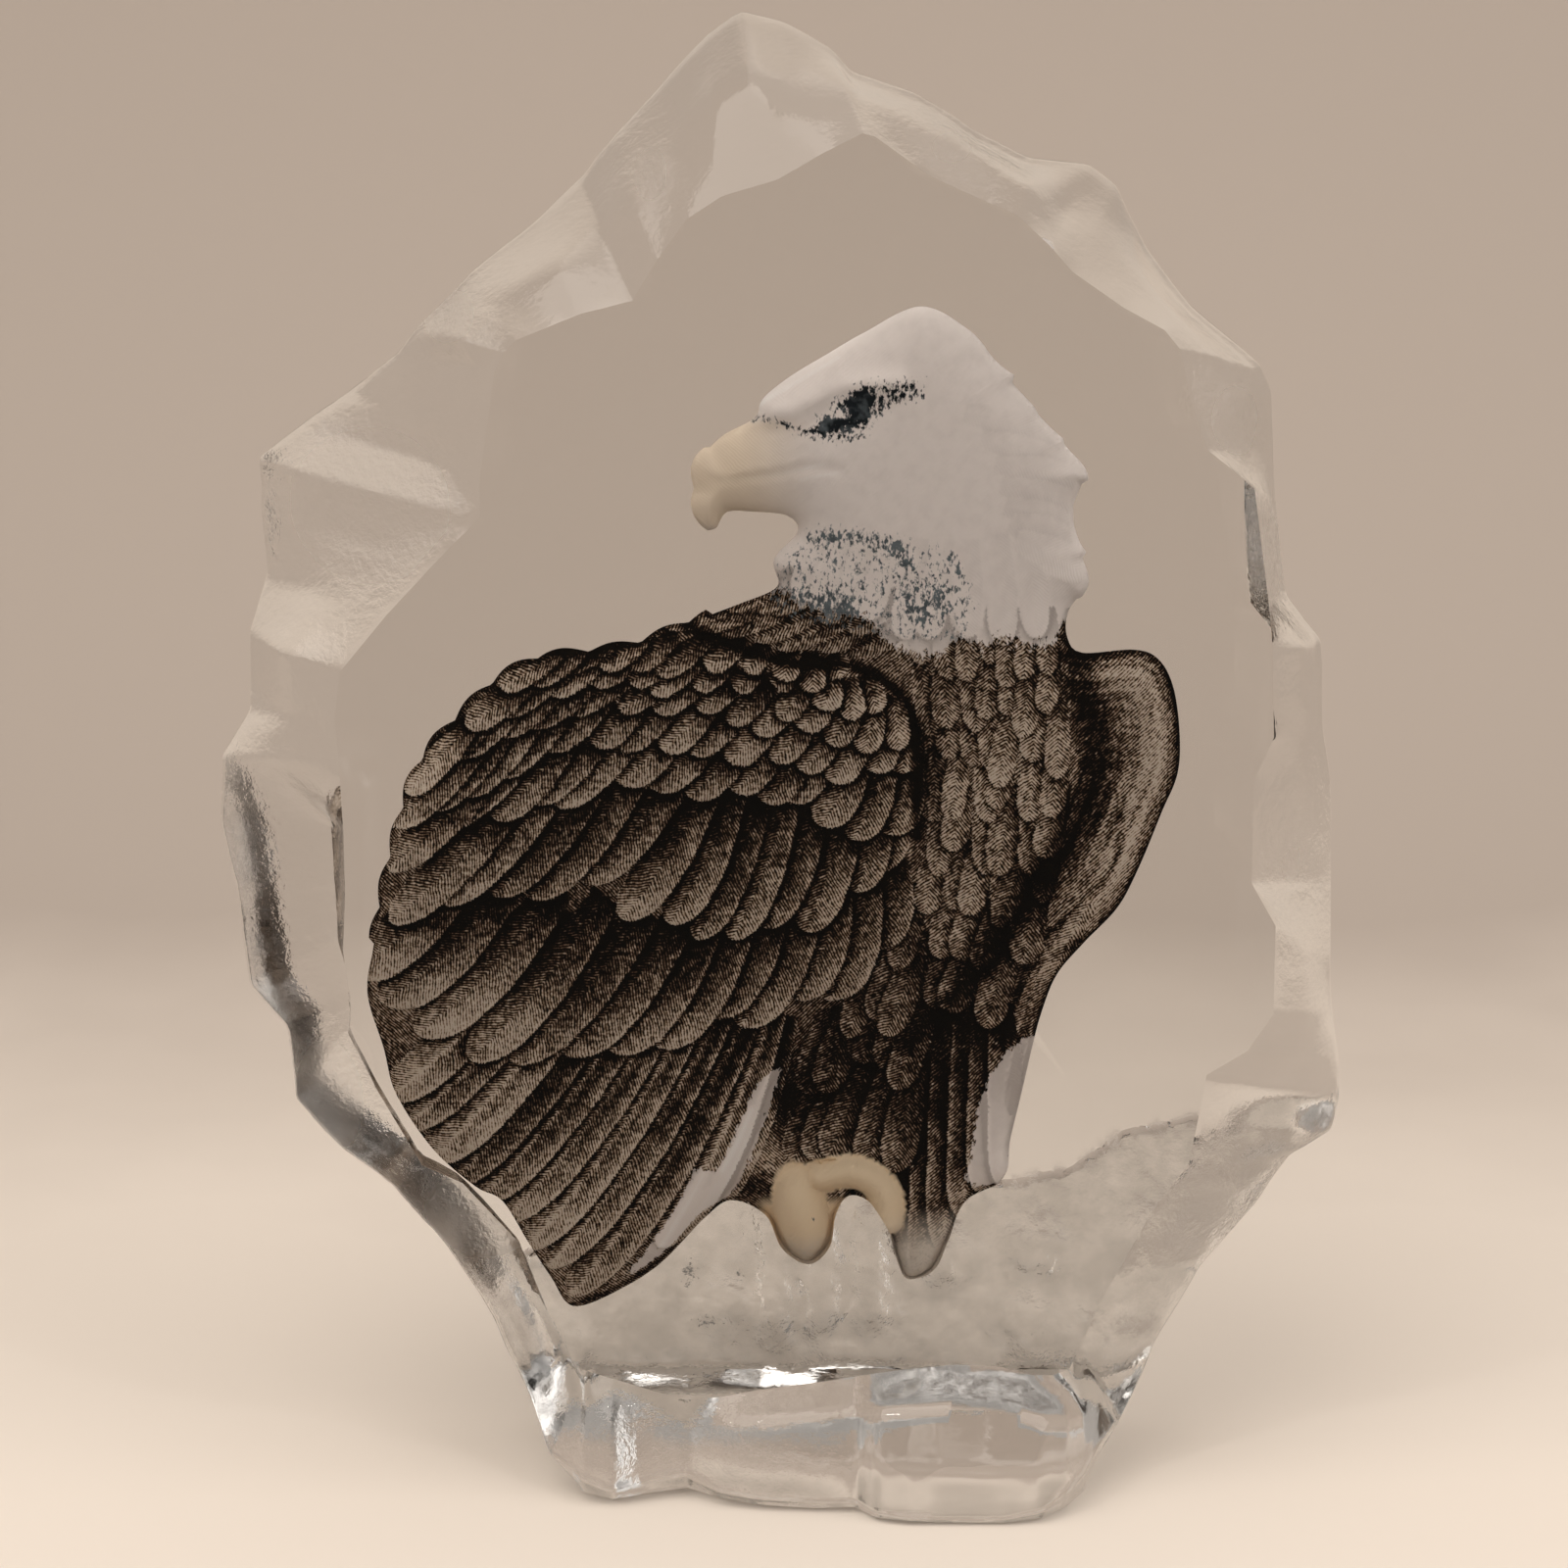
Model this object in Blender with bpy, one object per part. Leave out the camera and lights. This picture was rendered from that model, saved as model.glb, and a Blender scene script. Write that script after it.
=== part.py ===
"""A cast crystal block like a chipped piece of ice, with a perched bald eagle carved into its back face.

Metres, +Z up. The polished window faces -Y and the carved face +Y. The block stands on a flat underside.
"""
from collections import namedtuple

import bmesh
import bpy
import numpy as np
from mathutils import Vector
from mathutils.geometry import delaunay_2d_cdt

MM = 0.001

# Driving sizes of the block
BLOCK_HEIGHT = 240 * MM
BLOCK_WIDTH = 186 * MM
SLAB_THICKNESS = 38 * MM
FOOT_FRONT_REACH = 14 * MM
FOOT_BACK_REACH = 8 * MM
BACK_INSET = 6 * MM
RIDGE_INSET = 1.2 * MM
UNDERSIDE_SETBACK = 2 * MM
BACK_FOOT_HEIGHT = 7 * MM
BACK_FOOT_TOP = 13 * MM
CHIP_DEPTH = 1.3 * MM
CHIP_REACH = 13 * MM
CHIP_COUNT = 150
BEVEL_PLACES = (0.42, 0.62)
BEVEL_DEPTHS = (0.24, 0.56)
FLANGE_BEND = (0.14, 0.8)
FLANGE_REACH = 7.0
NEAR_RIDGE_DEPTH = 0.9
BACK_BEND = (0.45, 0.6)
STEP_LEAN = 1.4 * MM

# Driving sizes of the carving, as its height over the back plane
EDGE_STEP = 1.0 * MM
BODY_RISE = 4.2 * MM
BODY_REACH = 11 * MM
WING_RISE = 2.6 * MM
WING_REACH = 6 * MM
FAR_WING_DROP = 1.2 * MM
LEADING_ROLL_RISE = 2.0 * MM
TAIL_DROP = 1.0 * MM
FEATHER_LIFT = 1.0 * MM
BROW_RISE = 1.0 * MM
EYE_RISE = 0.9 * MM
SOCKET_DEPTH = 0.9 * MM
GAPE_DEPTH = 0.7 * MM
TOE_RISE = 8.5 * MM
PERCH_STEP = 1.2 * MM
PERCH_RIDGE_RISE = 3.2 * MM
PERCH_LUMP_RISE = 2.2 * MM
PERCH_TAPER = 6 * MM

# Spacing of the mesh
AROUND_STEP = 5 * MM
OUTLINE_STEP = 3.0
EDGE_GAP = 0.25
HEAD_STEP = 3.4
FACE_STEP = 1.7
TOE_STEP = 1.8
PERCH_STEP_APART = 4.4
LEAST_APART = 0.32
RIM_CLEARANCE = 1.2
EAGLE_CLEARANCE = 0.6
PERCH_CLEARANCE = 1.0
LINE_STEP = 2.0
ROLL_SHIFTS = (-5.5, -2.8, 0.0, 2.6)
FACE_LINE_SHIFTS = (-1.0, 0.0, 1.0)
HEAD_RINGS = (2.4, 5.4)
HEAD_FROM = 142.0
FACE_BOX = ((-14.0, 157.0), (20.0, 183.0))
TOE_BOX = ((-3.0, 33.0), (8.0, 51.0))
RIDGE_LINES = (-0.95, -0.6, 0.0, 0.6, 0.95)
PERCH_TOP = 62.0
PERCH_JITTER = 1.2

# The shapes below are drawn in millimetres for a block of this width and height
DRAWN_WIDTH = 186.0
DRAWN_HEIGHT = 240.0
DRAWN_CENTRE = (4.0, 112.0)

# Rim, clockwise from the foot's left end: window corner, outer corner, place of the ridge between
# the window plane (0) and the back plane (1), half the width of the ridge
RimStation = namedtuple("RimStation", "window_x window_z outer_x outer_z ridge spread")
RIM = [
    RimStation(*row)
    for row in (
        (-33.0, 21.5, -39.0, 6.0, 0.45, 15.0),
        (-34.5, 23.0, -42.6, 15.0, 0.45, 11.0),
        (-38.3, 31.0, -48.4, 26.5, 0.45, 7.0),
        (-43.0, 43.0, -57.5, 38.5, 0.45, 4.0),
        (-52.0, 53.0, -66.0, 47.5, 0.50, 3.0),
        (-58.5, 56.0, -71.5, 50.5, 0.58, 2.5),
        (-65.5, 68.5, -78.0, 55.5, 0.66, 2.5),
        (-70.0, 78.0, -83.0, 60.0, 0.74, 3.0),
        (-69.5, 83.0, -84.0, 73.0, 0.70, 3.0),
        (-70.5, 91.5, -89.3, 81.0, 0.58, 3.0),
        (-70.0, 100.0, -90.7, 99.0, 0.50, 3.0),
        (-70.0, 110.0, -92.5, 110.0, 0.42, 2.5),
        (-70.5, 121.0, -92.0, 121.0, 0.40, 2.0),
        (-71.0, 129.0, -87.3, 128.5, 0.46, 3.0),
        (-70.0, 136.5, -87.3, 141.0, 0.52, 3.0),
        (-62.5, 145.5, -85.0, 150.0, 0.62, 2.5),
        (-54.0, 154.5, -85.4, 159.0, 0.62, 2.0),
        (-47.5, 161.0, -85.8, 169.0, 0.58, 2.0),
        (-47.5, 167.0, -78.5, 174.5, 0.64, 2.5),
        (-46.5, 173.5, -70.5, 180.0, 0.68, 2.5),
        (-45.0, 183.5, -62.5, 186.0, 0.52, 2.5),
        (-43.5, 186.5, -59.0, 190.5, 0.48, 2.5),
        (-41.5, 188.5, -50.5, 199.0, 0.52, 2.5),
        (-31.5, 192.5, -40.0, 207.0, 0.60, 2.5),
        (-23.5, 194.5, -33.0, 214.0, 0.68, 2.0),
        (-19.8, 200.5, -28.0, 220.0, 0.62, 2.0),
        (-15.0, 207.0, -20.0, 228.5, 0.66, 2.0),
        (-9.5, 210.5, -12.5, 236.5, 0.70, 2.0),
        (-1.0, 213.0, -7.0, 240.0, 0.68, 2.0),
        (6.0, 217.0, 0.0, 238.5, 0.66, 2.0),
        (12.0, 220.0, 8.0, 234.0, 0.60, 2.0),
        (14.0, 219.5, 11.0, 230.5, 0.50, 2.0),
        (22.5, 213.5, 20.5, 227.0, 0.46, 2.5),
        (31.5, 209.5, 30.0, 221.5, 0.48, 2.5),
        (36.0, 207.5, 39.5, 217.0, 0.55, 2.0),
        (41.0, 203.0, 49.0, 216.0, 0.64, 2.0),
        (44.5, 199.0, 54.0, 212.5, 0.66, 2.5),
        (52.5, 193.5, 58.5, 202.0, 0.60, 3.0),
        (59.0, 190.0, 65.5, 193.5, 0.52, 3.0),
        (61.5, 187.0, 76.5, 184.5, 0.46, 3.0),
        (63.0, 180.0, 79.0, 179.5, 0.50, 2.5),
        (66.0, 171.5, 79.8, 170.0, 0.58, 2.5),
        (73.5, 165.5, 80.3, 162.0, 0.56, 3.0),
        (75.5, 152.0, 81.0, 153.5, 0.52, 3.5),
        (76.2, 147.0, 82.0, 147.0, 0.48, 3.0),
        (77.0, 140.0, 87.5, 140.0, 0.44, 2.0),
        (77.5, 126.0, 88.2, 125.0, 0.48, 3.0),
        (74.5, 119.0, 89.8, 115.5, 0.56, 2.5),
        (74.5, 102.5, 90.8, 100.0, 0.52, 2.5),
        (78.5, 95.5, 90.4, 87.0, 0.46, 3.0),
        (78.5, 81.0, 91.3, 77.5, 0.50, 3.0),
        (74.5, 75.0, 93.2, 68.0, 0.56, 2.5),
        (68.0, 71.0, 93.5, 61.5, 0.60, 2.5),
        (67.0, 65.0, 92.0, 56.0, 0.58, 2.5),
        (65.5, 56.5, 84.5, 52.5, 0.50, 2.5),
        (59.5, 48.0, 79.0, 45.0, 0.44, 3.0),
        (55.0, 39.5, 70.0, 34.5, 0.44, 4.0),
        (51.0, 32.0, 62.0, 22.0, 0.46, 8.0),
        (48.5, 25.5, 56.0, 10.0, 0.48, 13.0),
    )
]

# Foot, from right to left: ledge on the window plane, edge on the ground, height of the step's edge, how
# far it stands forward as a share of the front reach, height of the chipped front edge, share of the back
FootStation = namedtuple("FootStation", "window_x window_z foot_x top_z front chip back")
FOOT = [
    FootStation(*row)
    for row in (
        (46.5, 21.5, 49.5, 13.0, 0.30, 5.0, 0.35),
        (44.0, 20.5, 46.0, 15.5, 0.70, 3.5, 0.60),
        (40.5, 20.5, 41.5, 17.5, 0.95, 2.0, 0.85),
        (35.0, 22.0, 35.5, 19.8, 1.00, 0.8, 1.00),
        (28.0, 22.3, 27.5, 20.0, 1.00, 0.8, 1.00),
        (20.0, 21.5, 20.0, 19.5, 0.97, 0.8, 0.80),
        (15.0, 20.8, 14.8, 18.5, 0.88, 1.2, 0.70),
        (11.5, 20.2, 11.5, 16.0, 0.58, 1.6, 0.70),
        (5.0, 19.2, 5.0, 16.0, 0.62, 1.6, 0.90),
        (-4.0, 18.0, -3.5, 15.0, 0.56, 2.0, 1.00),
        (-10.0, 16.8, -10.0, 13.2, 0.40, 2.6, 0.90),
        (-16.0, 16.2, -16.0, 12.2, 0.14, 4.0, 0.70),
        (-22.0, 18.0, -22.0, 13.4, 0.26, 3.4, 0.80),
        (-27.0, 19.6, -28.0, 14.0, 0.42, 2.6, 0.85),
        (-31.0, 20.8, -33.0, 12.5, 0.30, 4.2, 0.50),
    )
]

# Outline of the eagle, clockwise from the forehead
EAGLE = (
    (-4.6, 174.6), (-3.4, 177.6), (1.0, 181.2), (7.3, 185.0), (13.0, 188.3), (22.0, 192.5), (29.5, 189.0),
    (34.0, 184.0), (40.0, 176.5), (45.0, 171.0), (48.5, 165.5), (47.0, 160.0), (48.0, 154.0),
    (49.5, 148.0), (46.5, 143.0), (46.5, 138.5), (49.0, 136.0), (57.5, 136.5), (61.5, 135.0),
    (64.0, 130.5), (65.2, 123.0), (65.0, 116.0), (62.5, 109.5), (59.0, 100.5), (55.5, 93.5), (50.0, 87.5),
    (45.5, 82.0), (43.0, 75.5), (41.5, 69.5), (40.0, 62.5), (38.0, 53.5), (37.0, 47.0), (30.5, 43.0),
    (27.5, 36.0), (25.0, 31.0), (21.0, 29.5), (19.2, 33.0), (17.8, 38.0), (14.5, 43.2), (11.0, 44.4),
    (8.6, 41.0), (7.6, 35.6), (4.0, 32.4), (-0.2, 35.2), (-3.0, 41.0), (-9.0, 43.2), (-13.6, 40.0),
    (-20.4, 32.7), (-26.5, 28.4), (-35.5, 24.9), (-39.5, 30.2), (-43.4, 36.6), (-47.5, 43.5),
    (-52.0, 46.0), (-59.0, 52.5), (-65.0, 62.0), (-67.0, 70.0), (-69.5, 79.0), (-68.5, 86.0),
    (-67.3, 92.5), (-66.0, 98.5), (-63.8, 107.0), (-61.3, 115.0), (-58.0, 120.5), (-52.5, 126.5),
    (-47.0, 131.5), (-40.5, 135.0), (-33.0, 136.0), (-24.0, 137.5), (-15.5, 141.0), (-7.5, 144.0),
    (-1.0, 147.0), (-1.5, 151.5), (2.4, 156.0), (0.7, 158.8), (-5.0, 159.5), (-9.5, 159.4),
    (-11.6, 156.6), (-14.2, 160.6), (-14.4, 164.6), (-13.3, 168.0), (-10.0, 171.6),
)
NEAR_WING = (
    (-16.0, 139.0), (-33.0, 138.5), (-50.0, 133.0), (-66.0, 112.0), (-72.0, 84.0), (-68.0, 56.0),
    (-50.0, 38.0), (-36.0, 22.0), (-20.0, 33.0), (-8.0, 46.0), (-2.0, 64.0), (8.0, 77.0), (17.0, 88.0),
    (22.5, 100.0), (23.5, 112.0), (22.0, 123.0), (17.0, 131.0), (8.0, 134.5), (-4.0, 136.0),
)
FAR_WING = (
    (45.5, 139.0), (58.0, 140.0), (68.0, 130.0), (68.0, 110.0), (60.0, 92.0), (48.0, 78.0), (42.0, 60.0),
    (37.0, 60.0), (39.0, 78.0), (43.5, 94.0), (46.5, 110.0), (47.0, 126.0),
)
LEADING_ROLL = (
    (50.0, 134.0), (57.5, 132.5), (60.8, 124.0), (60.2, 114.0), (56.5, 104.0), (51.5, 95.0), (44.0, 85.0),
)
LEADING_ROLL_WIDTH = 4.2
LIMB_BLEND = 2.0
PLUMAGE_BLEND = 1.5
TAIL = (
    (2.0, 58.0), (10.0, 78.0), (20.0, 86.0), (34.0, 84.0), (40.0, 76.0), (44.0, 64.0), (40.0, 44.0),
    (30.0, 38.0), (24.0, 26.0), (17.0, 30.0), (14.0, 46.0),
)
BROW = ((-5.0, 175.0), (2.0, 176.6), (9.0, 179.6), (18.0, 180.4))
BROW_WIDTH = 1.9
GAPE = ((-10.5, 164.6), (-2.0, 165.6), (4.0, 166.8), (9.0, 166.4))
GAPE_WIDTH = 0.9
EYE = (8.8, 175.4)
EYE_SIZE = 2.2
SOCKET_SIZE = 4.2

# Feathers, from the lowest layer to the top: the line of the roots, the line of the tips, how many, how
# wide, how far each bends to one side, and how much they stray
Tract = namedtuple("Tract", "name roots tips count width bend scatter")
TRACTS = (
    Tract("far_wing_quills",
          ((43.0, 90.0), (47.5, 92.0), (52.0, 96.0)),
          ((33.5, 62.0), (38.0, 62.0), (43.0, 73.0)),
          3, 5.5, -1.0, 1.0),
    Tract("tail",
          ((8.0, 76.0), (16.0, 82.0), (24.0, 84.0), (31.0, 82.0), (37.0, 78.0)),
          ((10.0, 47.0), (17.0, 33.0), (23.0, 28.0), (31.0, 41.0), (39.0, 47.0)),
          9, 6.4, 0.8, 1.0),
    Tract("thigh_low",
          ((4.0, 62.0), (14.0, 66.0), (24.0, 68.0)),
          ((-4.0, 44.5), (8.0, 50.0), (20.0, 49.0)),
          5, 6.4, 0.0, 2.0),
    Tract("thigh",
          ((6.0, 76.0), (16.0, 80.0), (27.0, 80.0)),
          ((1.0, 60.0), (11.0, 63.0), (23.0, 64.0)),
          5, 6.0, 0.0, 2.0),
    Tract("belly_low",
          ((14.0, 90.0), (26.0, 90.0), (40.0, 90.0)),
          ((8.0, 73.0), (21.0, 75.0), (36.0, 75.0)),
          6, 5.6, 0.0, 2.2),
    Tract("belly",
          ((20.0, 98.0), (33.0, 99.0), (45.0, 99.0)),
          ((17.0, 84.0), (29.0, 84.0), (40.5, 85.0)),
          5, 5.2, 0.0, 2.6),
    Tract("breast_1",
          ((24.0, 107.0), (35.0, 107.0), (47.0, 107.0)),
          ((22.0, 93.5), (32.5, 93.0), (43.5, 94.0)),
          6, 4.8, 0.0, 2.8),
    Tract("breast_2",
          ((24.0, 115.0), (35.0, 115.0), (48.0, 115.0)),
          ((23.0, 102.0), (33.5, 101.0), (45.5, 102.0)),
          6, 4.6, 0.0, 2.8),
    Tract("breast_3",
          ((23.0, 122.0), (35.0, 122.0), (47.5, 122.0)),
          ((23.0, 110.0), (33.5, 109.5), (46.0, 110.0)),
          6, 4.4, 0.0, 2.8),
    Tract("breast_4",
          ((22.0, 129.0), (34.0, 129.0), (47.0, 129.0)),
          ((23.0, 118.0), (33.5, 117.0), (46.0, 118.0)),
          7, 4.2, 0.0, 2.8),
    Tract("breast_5",
          ((20.0, 136.0), (34.0, 137.0), (46.0, 137.0)),
          ((22.5, 126.0), (33.0, 125.0), (45.0, 125.5)),
          7, 4.0, 0.0, 2.8),
    Tract("breast_6",
          ((19.0, 143.0), (34.0, 144.0), (45.0, 144.0)),
          ((22.0, 133.0), (33.0, 132.0), (45.0, 132.0)),
          7, 3.8, 0.0, 2.8),
    Tract("pale_quill",
          ((1.0, 76.0), (-3.0, 78.0)),
          ((-13.0, 41.0), (-22.0, 33.0)),
          2, 9.0, 1.5, 1.0),
    Tract("long_quills",
          ((-3.0, 79.0), (-10.0, 85.0), (-18.0, 89.0), (-28.0, 93.0), (-39.0, 95.0)),
          ((-35.5, 24.5), (-44.0, 33.0), (-53.0, 41.5), (-61.5, 50.5), (-70.0, 65.0)),
          9, 8.0, 2.0, 1.0),
    Tract("quills",
          ((20.0, 105.0), (13.0, 98.0), (6.0, 97.0), (-3.0, 96.0), (-12.0, 93.0), (-20.0, 93.0),
           (-31.0, 97.0), (-44.0, 99.0), (-55.0, 102.0)),
          ((17.0, 90.0), (8.0, 81.5), (-4.0, 77.5), (-16.0, 73.5), (-28.0, 71.0), (-41.0, 70.0),
           (-54.5, 70.5), (-68.5, 75.5), (-77.0, 86.0)),
          13, 8.6, 1.2, 1.2),
    Tract("great_coverts",
          ((21.0, 120.0), (15.0, 117.0), (7.0, 115.0), (-1.0, 113.0), (-8.0, 114.0), (-14.0, 117.0),
           (-24.0, 120.0), (-34.0, 118.0), (-44.0, 116.0)),
          ((18.0, 101.5), (10.0, 96.0), (0.0, 91.0), (-10.0, 88.5), (-20.0, 91.0), (-31.0, 96.5),
           (-43.0, 97.5), (-55.0, 94.5), (-69.5, 89.0)),
          13, 7.4, 0.8, 1.4),
    Tract("middle_coverts",
          ((22.0, 121.0), (16.0, 120.5), (8.0, 122.0), (0.0, 123.0), (-8.0, 124.5), (-18.0, 126.0),
           (-28.0, 126.0), (-38.0, 124.0), (-47.0, 120.0)),
          ((20.5, 108.0), (11.0, 107.0), (1.0, 110.5), (-9.0, 113.0), (-19.0, 114.5), (-30.0, 115.0),
           (-41.0, 113.0), (-53.5, 108.0), (-67.5, 99.5)),
          14, 6.4, 0.6, 1.6),
    Tract("small_coverts_1",
          ((21.5, 126.0), (16.0, 125.5), (8.5, 127.0), (-1.0, 129.0), (-11.0, 130.0), (-22.0, 130.5),
           (-33.0, 129.5), (-43.0, 126.0), (-51.0, 121.5)),
          ((21.0, 115.0), (12.0, 115.5), (2.0, 118.0), (-9.0, 120.5), (-20.0, 121.5), (-32.0, 121.5),
           (-44.0, 119.0), (-56.0, 114.0), (-66.5, 106.5)),
          15, 5.4, 0.4, 1.8),
    Tract("small_coverts_2",
          ((19.0, 130.0), (14.0, 129.5), (7.0, 131.0), (-2.0, 133.0), (-12.0, 134.0), (-23.0, 134.0),
           (-34.0, 133.0), (-45.0, 129.5), (-51.0, 126.5)),
          ((20.0, 121.0), (11.0, 121.5), (1.0, 124.0), (-10.0, 126.0), (-22.0, 127.0), (-34.0, 127.0),
           (-46.0, 124.0), (-57.5, 118.5), (-63.5, 113.5)),
          15, 4.8, 0.3, 1.8),
    Tract("small_coverts_3",
          ((14.0, 133.0), (9.0, 132.5), (2.0, 134.0), (-8.0, 136.0), (-19.0, 136.5), (-31.0, 136.0),
           (-43.0, 132.0)),
          ((17.0, 126.5), (8.0, 127.0), (-3.0, 129.5), (-15.0, 131.0), (-28.0, 131.5), (-41.0, 130.5),
           (-54.5, 124.5)),
          13, 4.4, 0.2, 1.8),
    Tract("small_coverts_4",
          ((9.0, 136.0), (2.0, 137.0), (-6.0, 139.0), (-18.0, 139.5), (-29.0, 138.5), (-39.0, 136.0)),
          ((12.0, 131.0), (1.0, 132.5), (-12.0, 134.5), (-26.0, 134.5), (-38.0, 134.0), (-49.0, 130.5)),
          11, 4.2, 0.2, 1.6),
    Tract("mantle_low",
          ((24.0, 141.5), (13.0, 143.0), (2.0, 145.0), (-7.0, 146.0)),
          ((13.0, 136.0), (1.0, 138.0), (-11.0, 140.5), (-21.0, 141.0)),
          7, 4.0, 0.2, 1.4),
    Tract("mantle",
          ((28.0, 146.0), (18.0, 148.0), (7.0, 149.5), (0.0, 150.0)),
          ((20.0, 139.0), (8.0, 141.0), (-4.0, 143.5), (-12.0, 144.0)),
          6, 4.0, 0.2, 1.4),
    Tract("hackles_low",
          ((4.0, 158.0), (16.0, 156.0), (28.0, 155.0), (42.0, 157.0)),
          ((0.5, 146.0), (12.0, 141.5), (26.0, 137.0), (45.0, 140.5)),
          9, 4.8, 0.0, 1.0),
    Tract("nape",
          ((28.0, 178.0), (34.0, 168.0), (36.0, 160.0), (38.0, 154.0)),
          ((44.0, 171.0), (48.0, 164.5), (48.5, 155.0), (49.0, 147.5)),
          7, 5.0, 0.5, 1.0),
)
BIG_FEATHER = 6.2
TIP_SCATTER = 0.16
SIDE_SCATTER = 0.07
WIDTH_SCATTER = 0.07
ROOT_LIFT = 0.1
EDGE_FALL = 0.35
ROUND_FROM = 0.74
ROOT_WIDTH = 0.6
FULL_WIDTH_FROM = 0.5
BIG_STOPS = (0.3, 0.5, 0.68, 0.84, 0.95)
SMALL_STOPS = (0.45, 0.7, 0.92)
CROWN_STOPS = (0.3, 0.5, 0.7, 0.88)

# Feet and perch
TOE = (2.8, 42.0)
TOE_HALF_WIDTH = 4.9
TOE_HALF_HEIGHT = 8.8
TOE_LEAN = 0.12
SIDE_TOE = ((6.0, 47.8), (11.0, 48.7), (15.2, 46.9), (17.2, 43.6), (17.2, 40.2))
SIDE_TOE_WIDTH = 3.2
SIDE_TOE_SHARE = 0.85
LEDGE_LINE = (
    (-70.0, 26.0), (-44.0, 34.0), (-30.0, 36.0), (-5.0, 46.0), (38.0, 46.5), (48.0, 48.5), (57.0, 55.0),
    (90.0, 62.0),
)
PERCH_RIDGES = ((-1.5, 3.6), (6.5, 3.4), (14.5, 3.8))
PERCH_RIDGE_TOP = 44.0
PERCH_RIDGE_FOOT = 15.0
PERCH_RIDGE_ROUNDING = 4.0
PERCH_RIDGE_FADE = 8.0
LEDGE_FALL = 1.2
PERCH_LUMPS = 34
PERCH_LUMP_REACH = 9.0
PERCH_BOX = ((-50.0, 8.0), (88.0, 60.0))

CRYSTAL_COLOUR = (0.93, 0.92, 0.90, 1.0)


def across(x):
    """Real width of a drawn one."""
    return x * BLOCK_WIDTH / DRAWN_WIDTH


def up(z):
    """Real height of a drawn one."""
    return z * BLOCK_HEIGHT / DRAWN_HEIGHT


def smooth_line(points, step, closed):
    """Points about a step apart on a smooth curve through the given ones."""
    points = np.array(points, float)
    count = len(points)
    spans = count if closed else count - 1
    line = []
    for i in range(spans):
        if closed:
            before, start, end, after = (points[(i + k) % count] for k in (-1, 0, 1, 2))
        else:
            before, start, end, after = (points[min(max(i + k, 0), count - 1)] for k in (-1, 0, 1, 2))
        pieces = max(1, round(float(np.hypot(*(end - start))) / step))
        for j in range(pieces):
            t = j / pieces
            line.append(0.5 * (2 * start + (end - before) * t
                               + (2 * before - 5 * start + 4 * end - after) * t ** 2
                               + (3 * start - before - 3 * end + after) * t ** 3))
    if not closed:
        line.append(points[-1])
    return np.array(line)


def distance_to(line, x, z, closed=True):
    """Distance of the points (x, z) to a line, and which of them it encloses."""
    nearest = np.full(x.shape, np.inf)
    inside = np.zeros(x.shape, bool)
    ends = np.roll(line, -1, axis=0) if closed else line[1:]
    for (ax, az), (bx, bz) in zip(line, ends):
        dx, dz = bx - ax, bz - az
        t = np.clip(((x - ax) * dx + (z - az) * dz) / max(dx * dx + dz * dz, 1e-12), 0, 1)
        nearest = np.minimum(nearest, np.hypot(x - ax - t * dx, z - az - t * dz))
        if az != bz:
            inside ^= ((az > z) != (bz > z)) & (x < dx * (z - az) / dz + ax)
    return nearest, inside


def offset_loop(loop, distance):
    """The points of a clockwise loop moved outwards by a distance."""
    ahead = np.roll(loop, -1, axis=0) - np.roll(loop, 1, axis=0)
    ahead /= np.hypot(ahead[:, 0], ahead[:, 1])[:, None]
    outward = np.stack([-ahead[:, 1], ahead[:, 0]], axis=1)
    return loop + outward * distance


def rounded(share):
    """Rise of a rounded form: 0 at its edge, 1 where the share reaches 1."""
    return np.sqrt(np.clip(1.0 - (1.0 - np.clip(share, 0.0, 1.0)) ** 2, 0.0, 1.0))


def bump(distance, width):
    """A soft bump of height 1 around a line or point."""
    return np.exp(-(distance / width) ** 2)


def along(points, share):
    """The place on a line at a share of the way through its points, whose spans all count the same."""
    points = np.array(points, float)
    at = share * (len(points) - 1)
    marks = np.arange(len(points))
    return np.array([np.interp(at, marks, points[:, 0]), np.interp(at, marks, points[:, 1])])


# Feathers

Feather = namedtuple("Feather", "root tip width bend")


def all_feathers():
    """Every feather of the eagle, from the lowest to the one on top."""
    rng = np.random.default_rng(3)
    feathers = []
    for tract in TRACTS:
        for number in range(tract.count):
            share = (number + 0.5) / tract.count
            root, tip = along(tract.roots, share), along(tract.tips, share)
            ahead = (tip - root) / np.hypot(*(tip - root))
            aside = np.array([-ahead[1], ahead[0]])
            longer, sideways, wider = rng.normal(size=3)
            stray = TIP_SCATTER * longer * ahead + SIDE_SCATTER * sideways * aside
            tip = tip + tract.scatter * tract.width * stray
            feathers.append(Feather(root, tip, tract.width * (1.0 + WIDTH_SCATTER * wider), tract.bend))
    return feathers


def half_width(feather, s):
    """Half the width of a feather at a share of its length, with a narrow root and a round tip."""
    body = ROOT_WIDTH + (1.0 - ROOT_WIDTH) * np.clip(s / FULL_WIDTH_FROM, 0.0, 1.0)
    past = np.clip((s - ROUND_FROM) / (1.0 - ROUND_FROM), 0.0, 1.0)
    return np.maximum(feather.width / 2 * body * np.sqrt(1.0 - past ** 2), 1e-6)


def bend_at(feather, s):
    """How far a feather's middle line lies to one side."""
    return feather.bend * 4.0 * s * (1.0 - s)


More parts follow.
